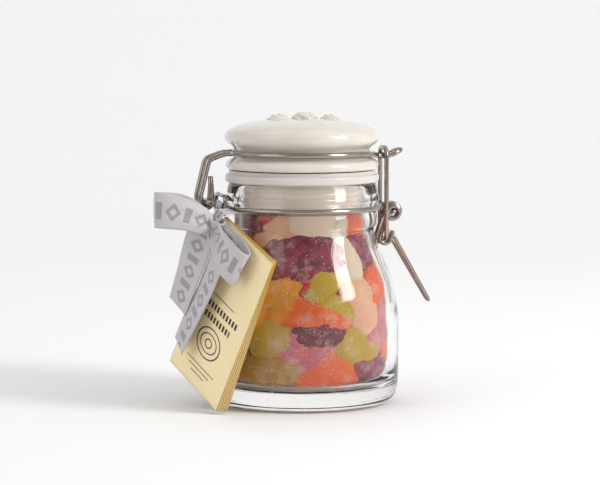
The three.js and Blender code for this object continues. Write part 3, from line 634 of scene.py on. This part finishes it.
def arc_xz(centre, radius, y, start, end, count=18):
    """An arc in a plane of one Y, from one angle to another in degrees from +X towards +Z."""
    a = np.radians(np.linspace(start, end, count + 1))
    return np.stack([centre[0] + radius * np.cos(a), y + 0 * a, centre[1] + radius * np.sin(a)], axis=-1)


SKEW = (0.51, 0.62, 0.6)


def tube(points, radius, sides=16):
    """A round section carried along a route, domed at each end: middle + r (cos b side + sin b up).

    Side is square to the route and to one slanting direction that no wire here runs along, and up is square
    to both. At an end the section swells from a point to its full radius over four steps.
    """
    points = np.asarray(points, float)
    ahead = np.gradient(points, axis=0)
    ahead /= np.linalg.norm(ahead, axis=1, keepdims=True)
    side = np.cross(ahead, SKEW)
    side /= np.linalg.norm(side, axis=1, keepdims=True)
    up = np.cross(ahead, side)
    b = np.linspace(0, 2 * np.pi, sides, endpoint=False)[None, :, None]
    length = np.concatenate([[0], np.cumsum(np.linalg.norm(np.diff(points, axis=0), axis=1))])
    swell = np.array([0.0, 0.55, 0.85, 1.0])
    draw = np.array([0.0, 0.12, 0.38, 0.8]) * radius * 0.8
    caps = len(swell)
    head = points[:1] + ahead[:1] * draw[:, None]
    tail = points[-1:] - ahead[-1:] * draw[::-1, None]
    middle = np.vstack([head, points[1:-1], tail])
    scale = np.concatenate([swell, np.ones(len(points) - 2), swell[::-1]])[:, None, None] * radius
    sides_at = np.vstack([np.repeat(side[:1], caps, 0), side[1:-1], np.repeat(side[-1:], caps, 0)])[:, None]
    ups_at = np.vstack([np.repeat(up[:1], caps, 0), up[1:-1], np.repeat(up[-1:], caps, 0)])[:, None]
    grid = middle[:, None] + scale * (np.cos(b) * sides_at + np.sin(b) * ups_at)
    along = np.concatenate([np.zeros(caps), length[1:-1], np.full(caps, length[-1])])
    uv = np.stack(np.broadcast_arrays(along[:, None] * MM, b[0, :, 0][None] / (2 * np.pi)), axis=-1)
    return grid.reshape(-1, 3), grid_faces(len(middle), sides), uv.reshape(-1, 2)


def ring(radius, height, wire_radius, columns=128, sides=16):
    """A closed ring of wire: out = radius + r cos b and z = height + r sin b, carried round Z."""
    a = np.linspace(0, 2 * np.pi, columns, endpoint=False)[:, None]
    b = np.linspace(0, 2 * np.pi, sides, endpoint=False)[None]
    out = radius + wire_radius * np.cos(b)
    grid = np.stack([out * np.cos(a), out * np.sin(a), height + wire_radius * np.sin(b) + 0 * a], axis=-1)
    uv = np.stack(np.broadcast_arrays(a * radius * MM, b / (2 * np.pi)), axis=-1)
    return grid.reshape(-1, 3), grid_faces(columns, sides, wrap_rows=True), uv.reshape(-1, 2)


steel, nodes, links, principled = shader(
    "drawn_steel_wire", Metallic=1.0, Roughness=0.16, Anisotropic=0.3)
drawn = noise(nodes, links, scale=60, where="UV", stretch=(8, 1, 1))
tone = ramp(nodes, links, drawn.outputs["Fac"], [(0.3, srgb(132, 120, 110)), (0.7, srgb(184, 175, 167))])
links.new(tone.outputs["Color"], principled.inputs["Base Color"])
bump(nodes, links, principled, drawn.outputs["Fac"], strength=0.2, distance=0.00008)

HINGE_BEND = 2
leg_x = -math.sqrt(NECK_RING[0] ** 2 - HINGE_LEG_Y ** 2)
hinge_bar = tube(bent([
    (leg_x, -HINGE_LEG_Y, NECK_RING[1]), (HINGE[0], -HINGE_LEG_Y, HINGE[1]),
    (HINGE[0], HINGE_LEG_Y, HINGE[1]), (leg_x, HINGE_LEG_Y, NECK_RING[1])], (HINGE_BEND,) * 2), RING_WIRE_R)
# A thinner wire clips the hinge's two legs together.
CLIP_X, CLIP_Z, CLIP_HALF_Y, CLIP_HALF_Z = -35.7, 86.2, 10.3, 3.9
CLIP_WIRE_R = 0.85
CLIP_BEND = 2.2
clip_line = bent([
    (CLIP_X, 0, CLIP_Z + CLIP_HALF_Z), (CLIP_X, CLIP_HALF_Y, CLIP_Z + CLIP_HALF_Z),
    (CLIP_X, CLIP_HALF_Y, CLIP_Z - CLIP_HALF_Z), (CLIP_X, -CLIP_HALF_Y, CLIP_Z - CLIP_HALF_Z),
    (CLIP_X, -CLIP_HALF_Y, CLIP_Z + CLIP_HALF_Z), (CLIP_X, -0.2, CLIP_Z + CLIP_HALF_Z)], (CLIP_BEND,) * 4)
# Two ears carry the latch pin: each leaves the ring, curls round the pin and turns in to it.
EAR_Y, EAR_R = 1.4, 3.3
PIN_HALF = 4.85
ears = []
for y in (-EAR_Y, EAR_Y):
    curl = arc_xz(LEVER_PIVOT, EAR_R, y, start=88, end=-130, count=24)
    ears.append(tube(route((33.4, y, 84.5), (36.6, y, 85), curl), LATCH_WIRE_R))
    ears.append(tube([curl[-1], (LEVER_PIVOT[0], y, LEVER_PIVOT[1])], LATCH_WIRE_R))
pin = tube([
    (LEVER_PIVOT[0], -PIN_HALF, LEVER_PIVOT[1]), (LEVER_PIVOT[0], PIN_HALF, LEVER_PIVOT[1])], LATCH_WIRE_R)
neck_ring = piece_of("neck_ring_wire", [
    ring(*NECK_RING, RING_WIRE_R), hinge_bar, tube(clip_line, CLIP_WIRE_R), *ears, pin,
], "jar", ["neck_wire"])
neck_ring.data.materials.append(steel)

LID_RING = (30.7, 108)
LID_ARM_Y = 4.5
NOSE_Y = 3.3
NOSE_TIP = (43.6, 108.5)
CURL_GAP = 0.35
# The free end of each arm, out past its curl and up from the hinge bar, for the front arm and the back one.
TAIL_ENDS = {-1: (-1, 11), 1: (0.9, 8.8)}


def lid_wire_half(side):
    """Half of the lid wire: tail, curl round the hinge bar, arm, fillet, ring, fillet and nose."""
    y = side * LID_ARM_Y
    curl = RING_WIRE_R * 2 + CURL_GAP
    lean, rise = TAIL_ENDS[side]
    hinge = bent([
        (HINGE[0] + curl + lean, y, HINGE[1] + rise), (HINGE[0] + curl, y, HINGE[1] - curl),
        (HINGE[0] - curl, y, HINGE[1] - curl), (HINGE[0] - curl, y, HINGE[1] + 2.6),
        (HINGE[0] + 1, y, LID_RING[1] - 2.6), (-36.4, y, LID_RING[1] - 0.7), (-33.9, y, LID_RING[1]),
    ], (curl - 0.01, curl - 0.01, 3, 3.6, 3))
    arm_bend, nose_bend = 5, 4
    arm_x = -math.sqrt((LID_RING[0] + arm_bend) ** 2 - (LID_ARM_Y + arm_bend) ** 2)
    nose_x = math.sqrt((LID_RING[0] + nose_bend) ** 2 - (NOSE_Y + nose_bend) ** 2)
    arm_turn = math.degrees(math.atan2(LID_ARM_Y + arm_bend, -arm_x))
    nose_turn = math.degrees(math.atan2(NOSE_Y + nose_bend, nose_x))

    def swept(cx, cy, radius, start, end, count, low, high):
        """An arc about a centre in plan, from one angle to another in degrees, climbing evenly."""
        a = np.radians(np.linspace(start, end, count))
        z = np.linspace(low, high, count)
        return np.stack([cx + radius * np.cos(a), side * (cy + radius * np.sin(a)), z], axis=-1)

    top, ring_end, nose_low = LID_RING[1], LID_RING[1] - 0.7, 106.1
    nose = [(nose_x + 2.6, side * NOSE_Y, nose_low), (39.6, side * NOSE_Y * 0.97, nose_low + 0.7),
            (NOSE_TIP[0] - 2.5, side * NOSE_Y * 0.93, NOSE_TIP[1] - 0.9),
            (NOSE_TIP[0] - 0.9, side * NOSE_Y * 0.62, NOSE_TIP[1] - 0.2), (NOSE_TIP[0], 0, NOSE_TIP[1])]
    return route(
        hinge, swept(arm_x, LID_ARM_Y + arm_bend, arm_bend, -90, -arm_turn, 8, top, top),
        swept(0, 0, LID_RING[0], 180 - arm_turn - 4, 50, 40, top, top),
        swept(0, 0, LID_RING[0], 46, nose_turn, 10, top - 0.1, ring_end),
        swept(nose_x, NOSE_Y + nose_bend, nose_bend, 180 + nose_turn + 10, 270, 8,
              ring_end - 0.3, nose_low + 0.1),
        nose)


bail_line = softened(route(lid_wire_half(-1), lid_wire_half(1)[::-1][1:]), passes=1)
lid_bail = piece_of("lid_ring_wire", [tube(bail_line, RING_WIRE_R)], "lid", ["lid_wire"])
lid_bail.data.materials.append(steel)

eye_tilt = math.degrees(math.atan2(LEVER_PIVOT[1] - LINK_PIVOT[1], LEVER_PIVOT[0] - LINK_PIVOT[0]))


def eye(y):
    """A long eye round the pin and the link's foot: two half circles and the straights between them."""
    top = arc_xz(LEVER_PIVOT, EYE_R, y, eye_tilt - 90, eye_tilt + 90)
    bottom = arc_xz(LINK_PIVOT, EYE_R, y, eye_tilt + 90, eye_tilt + 270)
    overlap = bottom[-1] + 0.35 * (top[0] - bottom[-1])
    return tube(route(top, bottom, overlap), LATCH_WIRE_R)


EYE_Y = 3.8
TIP_R = 1.55
handle = bent([
    (39.1, -EYE_Y, 73.4), (40.7, -3.7, 69.6), (56.2, -TIP_R, 42.8), (56.2, TIP_R, 42.8), (40.7, 3.7, 69.6),
    (39.1, EYE_Y, 73.4)], (2.5, TIP_R - 0.02, TIP_R - 0.02, 2.5))
lever_parts = [eye(-EYE_Y), eye(EYE_Y), tube(handle, HANDLE_WIRE_R)]
lever = piece_of("latch_lever_wire", lever_parts, "lever", ["lever_wire"])
lever.data.materials.append(steel)

link_line = bent([
    (36, -3.1, 70.6), (36, -6, 70.6), (36, -5.8, 109.7), (36, 5.8, 109.7), (36, 6, 70.6), (36, 3.1, 70.6)],
    (1.3, 3.6, 3.6, 1.3))
link = piece_of("latch_link_wire", [tube(link_line, LATCH_WIRE_R)], "link", ["link_wire"])
link.data.materials.append(steel)

# ---- tag cards ------------------------------------------------------------------------------------
# A stack of five pale yellow cards, fanned a little round the hole that the ribbon passes through. The front
# one carries a plain printed design in dark grey: rules, rows of blocks and oval rings.

CARD_W, CARD_H, CARD_T, CARD_STEP = 44, 70, 0.27, 0.31
CARD_BOW = 0.0002
CARD_FAN = 0.35
CARD_SPLAY = 0.6
CARD_HOLE = (-16.5, 29.5)
TAG_CENTRE = np.array([-40.3, -23.2, 41.7])
# The way that the front card faces about Z, how far it leans back, and its turn in its own plane.
TAG_BEARING, TAG_LEAN, TAG_ROLL = 203, 9.5, -22.7
TAG_TURN = (turn_about("Z", math.radians(TAG_BEARING + 90)) @ turn_about("X", math.radians(90 - TAG_LEAN))
            @ turn_about("Z", math.radians(TAG_ROLL)))


def from_tag(points):
    """Points given across the card, up it and out of its front, set into the jar's axes."""
    return np.asarray(points, float) @ TAG_TURN.T + TAG_CENTRE


def to_tag(points):
    """The other way: points in the jar's axes, as seen by the card."""
    return (np.asarray(points, float) - TAG_CENTRE) @ TAG_TURN


def card_points(x, y, lift):
    """Places on a card of slight curl: z = lift + a small bow across the width and up the height."""
    bow = CARD_BOW * (x ** 2 + 0.25 * y ** 2)
    return np.stack([x, y, lift - bow + 0 * x], axis=-1)


def card(index, rows=36, columns=24):
    """A thin card, fanned about its hole by a turn in its plane, and swung back from its top edge."""
    y, x = np.meshgrid(np.linspace(-CARD_H / 2, CARD_H / 2, rows),
                       np.linspace(-CARD_W / 2, CARD_W / 2, columns), indexing="ij")
    front = card_points(x, y, -index * CARD_STEP)
    back = front - (0, 0, CARD_T)
    both = np.concatenate([front.reshape(-1, 3), back.reshape(-1, 3)])
    about = np.array([*CARD_HOLE, 0])
    both = (both - about) @ turn_about("Z", math.radians(CARD_FAN * index)).T + about
    top = np.array([0, CARD_H / 2, 0])
    both = (both - top) @ turn_about("X", math.radians(CARD_SPLAY * index)).T + top
    uv = np.stack([x / CARD_W + 0.5, y / CARD_H + 0.5], axis=-1).reshape(-1, 2)
    return from_tag(both), slab_faces(rows, columns), np.vstack([uv, uv])


# Printed rows: height on the card, half height, half width, pitch of the blocks and the inked share of it.
PRINT_ROWS = [(5.2, 0.25, 9, 1.6, 0.8), (0.6, 1.35, 15.5, 2.6, 0.62), (-4.4, 1.35, 11.5, 2.6, 0.62),
              (-25.4, 0.2, 12, 60, 1), (-27.4, 0.3, 9, 1.4, 0.7), (-29.4, 0.3, 6, 1.4, 0.7)]
# Printed ovals: height of the centre, half width, half height, and how far r squared may lie from 1.
PRINT_OVALS = [(-14.6, 9.5, 6.4, 0.09), (-14.6, 6.6, 4, 0.12), (-14.6, 2.6, 1.8, 0.3)]
CARD_INK = srgb(70, 66, 58)
CARD_GOLD, GOLD_EDGE = srgb(188, 148, 52), 0.12


def card_stock(name, printed):
    """Pale yellow card with golden cut edges, by its UV. The printed one has rules, blocks and oval rings."""
    material, nodes, links, principled = shader(name, Roughness=0.72)
    fibre = noise(nodes, links, scale=900, detail=4.0)
    yellow = ramp(nodes, links, fibre.outputs["Fac"], [
        (0.3, srgb(246, 224, 176)), (0.7, srgb(252, 234, 190))])
    coords = nodes.new("ShaderNodeTexCoord")
    split = nodes.new("ShaderNodeSeparateXYZ")
    links.new(coords.outputs["UV"], split.inputs["Vector"])
    x = calc(nodes, links, "MULTIPLY_ADD", split.outputs["X"], CARD_W, -CARD_W / 2)
    y = calc(nodes, links, "MULTIPLY_ADD", split.outputs["Y"], CARD_H, -CARD_H / 2)
    inner = calc(nodes, links, "MULTIPLY", near(nodes, links, x, 0, CARD_W / 2 - GOLD_EDGE),
                 near(nodes, links, y, 0, CARD_H / 2 - GOLD_EDGE))
    colour = blend(nodes, links, inner, CARD_GOLD, yellow.outputs["Color"])
    if printed:
        ink = []
        for height, half_height, half_width, pitch, filled in PRINT_ROWS:
            cell = calc(nodes, links, "FRACT", calc(nodes, links, "DIVIDE", x, pitch))
            shown = calc(nodes, links, "LESS_THAN", cell, filled)
            row = calc(nodes, links, "MULTIPLY", near(nodes, links, y, height, half_height),
                       near(nodes, links, x, 0, half_width))
            ink.append(calc(nodes, links, "MULTIPLY", row, shown))
        for centre, width, height, line in PRINT_OVALS:
            across = calc(nodes, links, "POWER", calc(nodes, links, "DIVIDE", x, width), 2.0)
            rise = calc(nodes, links, "DIVIDE", calc(nodes, links, "SUBTRACT", y, centre), height)
            reach = calc(nodes, links, "ADD", across, calc(nodes, links, "POWER", rise, 2.0))
            ink.append(near(nodes, links, reach, 1.0, line))
        total = ink[0]
        for more in ink[1:]:
            total = calc(nodes, links, "MAXIMUM", total, more)
        colour = blend(nodes, links, total, colour, CARD_INK)
    links.new(colour, principled.inputs["Base Color"])
    bump(nodes, links, principled, fibre.outputs["Fac"], strength=0.15, distance=0.0001)
    return material


plain_card = card_stock("pale_yellow_card", printed=False)
printed_card = card_stock("printed_card", printed=True)
for index in range(5):
    sheet = piece_of(f"tag_{index + 1}", [card(index)], "jar", [f"tag_card_{index + 1}"])
    sheet.data.materials.append(plain_card if index else printed_card)

# ---- ribbon bow -----------------------------------------------------------------------------------
# Lilac-grey grosgrain ribbon, 15 mm wide, tied in a bow: it goes round the front leg of the hinge and through
# the cards' hole, with a loop to each side and two tails that hang in front of the tag.

RIBBON_HALF = 7.5
RIBBON_T = 0.45
PLEAT_FROM, PLEAT_DEPTH, PLEAT_WAVES = 2.2, 3.6, 7
UPRIGHT = TAG_TURN.T @ np.array([0, 0, 1.0])


def through(stations, steps):
    """A smooth line through rows of numbers: cubics that leave each row along the chord of its neighbours."""
    rows = np.asarray(stations, float)
    padded = np.vstack([2 * rows[0] - rows[1], rows, 2 * rows[-1] - rows[-2]])
    at = np.linspace(0, len(rows) - 1, steps)
    first = np.minimum(at.astype(int), len(rows) - 2)
    t = (at - first)[:, None]
    a, b, c, d = (padded[first + k] for k in range(4))
    square = (2 * a - 5 * b + 4 * c - d) * t ** 2
    cube = (3 * b - a - 3 * c + d) * t ** 3
    return 0.5 * (2 * b + (c - a) * t + square + cube)


def strip(stations, start, steps=60, columns=13, cup=0.35):
    """A strip of ribbon through stations (middle, width direction, half width), cupped a little across.

    Each point is middle + half * v * across + (cup * (v^2 - 1/3) + pleat) * out, for v from -1 to 1. The
    pleat is a wave across, deepest where the ribbon is half gathered, and none where it is flat or narrow.
    """
    smooth = through(stations, steps)
    middle, across, half = smooth[:, :3], smooth[:, 3:6], smooth[:, 6:7]
    ahead = np.gradient(middle, axis=0)
    ahead /= np.linalg.norm(ahead, axis=1, keepdims=True)
    across = across - ahead * (across * ahead).sum(axis=1, keepdims=True)
    across /= np.linalg.norm(across, axis=1, keepdims=True)
    out = np.cross(ahead, across)
    v = np.linspace(-1, 1, columns)[None, :, None]
    gather = np.clip(half - PLEAT_FROM, 0, None) * (1 - half / RIBBON_HALF) / RIBBON_HALF
    pleat = gather[:, None] * PLEAT_DEPTH * np.cos(v * PLEAT_WAVES)
    grid = middle[:, None] + half[:, None] * v * across[:, None]
    grid = grid + (cup * (v ** 2 - 1 / 3) + pleat) * out[:, None]
    length = np.concatenate([[0], np.cumsum(np.linalg.norm(np.diff(middle, axis=0), axis=1))])
    uv = np.stack(np.broadcast_arrays((length[:, None] + start) * MM, (v[0, :, 0] + 1)[None] / 2), axis=-1)
    return from_tag(grid.reshape(-1, 3)), grid_faces(steps, columns, wrap_columns=False), uv.reshape(-1, 2)


# Stations of each stretch: the left loop and the tie in the jar's axes, and the others as seen by the card.
left_loop = [(*to_tag((x, y, z)), *UPRIGHT, half) for x, y, z, half in [
    (-43, -19, 78.6, 4), (-46.3, -21.3, 80.2, 5.4), (-50, -22.2, 81.9, 6), (-56, -22.3, 83.8, 6.8),
    (-62.6, -20.6, 85, 7.5), (-67, -17, 85.3, 7.5), (-63.6, -13.6, 85, 7.5), (-56, -12, 84.2, 7.5),
    (-50, -12.8, 82.2, 6.4), (-46, -15, 80.2, 5.2), (-43.4, -17, 78.8, 4)]]
right_loop = [(x, y, z, 0.12, 1, 0, half) for x, y, z, half in [
    (-18, 31.5, 6, 3.6), (-8, 29.6, 8.6, 5.4), (1.6, 27.4, 10, 7.5), (8.6, 26.2, 8.8, 7.5),
    (11.1, 25.7, 6.4, 7.5), (8.6, 25.8, 4, 7.5), (1.6, 26.9, 2.6, 7.5), (-8, 29.6, 2.6, 5.4),
    (-16.6, 31.3, 4, 3.6)]]
wide_tail = [(x, y, z, 1, rise, out, half) for x, y, z, half, rise, out in [
    (-20.5, 30.6, 6.6, 4, 0.45, 0), (-21.6, 27.4, 7.4, 6.6, 0.42, -0.2),
    (-22.4, 23.2, 7.4, 7.5, 0.34, -0.32), (-22.6, 14, 6.8, 7.5, 0.16, -0.24),
    (-23.4, 4, 5.6, 7.5, 0.08, -0.12), (-24.8, -10.2, 4, 7.2, 0.05, -0.04)]]
narrow_tail = [(x, y, z, math.cos(math.radians(twist)), 0.1, math.sin(math.radians(twist)), half)
               for x, y, z, half, twist in [
                   (-17, 30.5, 5, 4, 6), (-7.8, 25.5, 5.8, 6.2, 8), (-7.9, 14, 5.2, 7.4, 11),
                   (-10, 0, 4.6, 7.4, 12), (-12.3, -12, 4.2, 7.3, 11), (-13.2, -23.3, 4.4, 7.4, 15)]]
knot = [(-19.5 + 4.2 * math.sin(a), 31, 5.5 + 3.2 * math.cos(a), 0.25, 1, 0, 3.9)
        for a in np.linspace(0, 2 * np.pi, 13)]
stem = [(x, y, z, 1, 0, 0, half) for x, y, z, half in [
    (-18.2, 30.6, 4.4, 2.6), (-16.8, 29.7, 1.6, 1.8), (-16.5, 29.5, -1, 1.7), (-16.5, 29.5, -4.4, 1.7)]]
back_band = [
    (-15.5, 28.5, -5.2, 0.7, 0.7, 0, 2.6), (-20.2, 37.2, -5.2, 0.9, 0.45, 0, 2.4),
    (-20.8, 38.2, -1, 1, 0, 0, 2), (-20.6, 37.2, 2.6, 1, 0, 0, 2), (-19.8, 33.4, 4.8, 1, 0, 0, 2)]
# The ribbon closes round the front leg of the hinge, between the hinge bar and the clip.
TIE_ALONG, TIE_R, TIE_HALF = 6.5, 1.85, 1.1
leg_way = np.array([HINGE[0] - leg_x, 0, HINGE[1] - NECK_RING[1]])
leg_way /= np.linalg.norm(leg_way)
leg_side = np.cross(leg_way, (0, 1, 0))
tie_at = np.array([leg_x, -HINGE_LEG_Y, NECK_RING[1]]) + TIE_ALONG * leg_way
tie_ring = [(*to_tag(tie_at + TIE_R * (math.cos(a) * np.array([0, 1, 0]) + math.sin(a) * leg_side)),
             *(TAG_TURN.T @ leg_way), TIE_HALF) for a in np.linspace(0, 2 * np.pi, 13)]
tie_lead = [(*to_tag(at), *(TAG_TURN.T @ leg_way), half) for at, half in [
    (tie_at - (0.5, 1.5, 1.5), TIE_HALF), ((-39.7, -13.3, 82.1), 1.6), ((-41.6, -16.4, 79.2), 2)]]
stretches = [
    strip(left_loop, start=0), strip(right_loop, start=60), strip(wide_tail, start=120),
    strip(narrow_tail, start=170), strip(knot, start=230, steps=40, columns=9),
    strip(stem, start=250, steps=16, columns=9, cup=0),
    strip(back_band, start=255, steps=30, columns=9, cup=0),
    strip(tie_ring, start=275, steps=30, columns=5, cup=0),
    strip(tie_lead, start=285, steps=16, columns=7, cup=0)]
bow = piece_of("ribbon_bow", stretches, "jar", ["ribbon"])
thicken = bow.modifiers.new("cloth thickness", "SOLIDIFY")
thicken.thickness = RIBBON_T * MM
thicken.offset = 0
RIB_SCALE = 400
MOTIF_PITCH = 12.5
MOTIF_GREY, MOTIF_SHARE = srgb(140, 137, 141), 0.75
grosgrain, nodes, links, principled = shader(
    "grosgrain", Roughness=0.8, Sheen_Weight=0.3, Sheen_Roughness=0.4)
coords = nodes.new("ShaderNodeTexCoord")
ribs = nodes.new("ShaderNodeTexWave")
ribs.wave_type, ribs.bands_direction = "BANDS", "X"
ribs.inputs["Scale"].default_value = RIB_SCALE
links.new(coords.outputs["UV"], ribs.inputs["Vector"])
# Painted shade: the lilac is darker in the furrows between the ribs and lighter on their crests, following
# the same bands that give the ribs their relief.
lilac_and_rib_shade = ramp(nodes, links, ribs.outputs["Fac"], [(0.0, srgb(186, 181, 184)), (1.0, srgb(204, 199, 202))])
# Grey diamonds with small blocks between them, woven along the middle of the ribbon.
split = nodes.new("ShaderNodeSeparateXYZ")
links.new(coords.outputs["UV"], split.inputs["Vector"])
cell = calc(nodes, links, "FRACT", calc(nodes, links, "DIVIDE", split.outputs["X"], MOTIF_PITCH * MM))
along = calc(nodes, links, "ABSOLUTE", calc(nodes, links, "SUBTRACT", cell, 0.5))
beside = calc(nodes, links, "ABSOLUTE", calc(nodes, links, "SUBTRACT", split.outputs["Y"], 0.5))
diamond = near(nodes, links, calc(nodes, links, "ADD", along, beside), centre=0.2, half=0.075)
block = calc(nodes, links, "MULTIPLY", near(nodes, links, along, centre=0.46, half=0.075),
             near(nodes, links, beside, centre=0.0, half=0.24))
motif = calc(nodes, links, "MULTIPLY", calc(nodes, links, "MAXIMUM", diamond, block), MOTIF_SHARE)
woven = blend(nodes, links, motif, lilac_and_rib_shade.outputs["Color"], MOTIF_GREY)
links.new(woven, principled.inputs["Base Color"])
bump(nodes, links, principled, ribs.outputs["Fac"], strength=0.35, distance=0.00012)
bow.data.materials.append(grosgrain)

# ---- floor, backdrop and light --------------------------------------------------------------------
# A plain pale sweep lies under and behind the jar. A soft light stands to the right in front, a larger and
# weaker one to the left, and a wide one hangs behind the jar and is aimed at the backdrop.

FLOOR_REACH = 3000
SWEEP_START, SWEEP_R = 700, 600


def sweep():
    """A floor that rises into a backdrop: flat to a point behind the jar, a quarter circle, then upright."""
    bend = np.radians(np.linspace(-90, 0, 24))
    flat = np.stack([np.linspace(-FLOOR_REACH, SWEEP_START - 50, 12), np.zeros(12)], axis=-1)
    curve = np.stack([SWEEP_START + SWEEP_R * np.cos(bend), SWEEP_R + SWEEP_R * np.sin(bend)], axis=-1)
    wall = np.stack([np.full(6, SWEEP_START + SWEEP_R), np.linspace(SWEEP_R + 100, FLOOR_REACH, 6)], axis=-1)
    line = np.vstack([flat, curve, wall])
    x = np.linspace(-FLOOR_REACH, FLOOR_REACH, 13)
    c, s = math.cos(VIEW_TURN), math.sin(VIEW_TURN)
    away, up = line[:, :1], line[:, 1:]
    grid = np.stack([x * c + away * s, -x * s + away * c, up + 0 * x], axis=-1)
    return grid.reshape(-1, 3), grid_faces(len(line), len(x), wrap_columns=False)


points, faces = sweep()
floor_mesh = bpy.data.meshes.new("floor")
floor_mesh.from_pydata((points * MM).tolist(), [], faces.tolist())
floor_mesh.polygons.foreach_set("use_smooth", np.ones(len(floor_mesh.polygons), bool))
floor = bpy.data.objects.new("floor", floor_mesh)
bpy.context.scene.collection.objects.link(floor)
paper, nodes, links, principled = shader("white_paper", Base_Color=(0.92, 0.92, 0.92, 1), Roughness=0.9)
floor.data.materials.append(paper)


def area_light(name, place, target, size, power):
    """A soft rectangular light of a size in metres, at a place in view axes, aimed at a target."""
    light = bpy.data.lights.new(name, "AREA")
    light.shape = "RECTANGLE"
    light.size, light.size_y = size
    light.energy = power
    lamp = bpy.data.objects.new(name, light)
    lamp.location = from_view(*place) * MM
    aim = from_view(*target) * MM - lamp.location
    lamp.rotation_euler = aim.to_track_quat("-Z", "Y").to_euler()
    bpy.context.scene.collection.objects.link(lamp)


area_light("key", place=(760, -420, 520), target=(0, 0, 70), size=(0.3, 0.52), power=6)
area_light("fill", place=(-1100, -900, 700), target=(0, 0, 60), size=(1.0, 1.0), power=3.2)
area_light("backdrop", place=(0, 420, 1000), target=(0, 1250, 250), size=(2.6, 0.9), power=3.4)
ROOM_STRENGTH = 0.76
world = bpy.data.worlds.new("studio")
bpy.context.scene.world = world
world.use_nodes = True
nodes, links = world.node_tree.nodes, world.node_tree.links
background = nodes["Background"]
background.inputs["Strength"].default_value = ROOM_STRENGTH
# The room is white, and darker towards the jar's front, fixed in the jar's own axes.
sky = nodes.new("ShaderNodeTexCoord")
toward = nodes.new("ShaderNodeVectorMath")
toward.operation = "DOT_PRODUCT"
toward.inputs[1].default_value = from_view(0, -1, 0.1)
links.new(sky.outputs["Generated"], toward.inputs[0])
room = ramp(nodes, links, toward.outputs["Value"], [(0.62, (1, 1, 1, 1)), (0.93, (0.4, 0.39, 0.38, 1))])
links.new(room.outputs["Color"], background.inputs["Color"])
bpy.context.scene.view_settings.view_transform = "Standard"
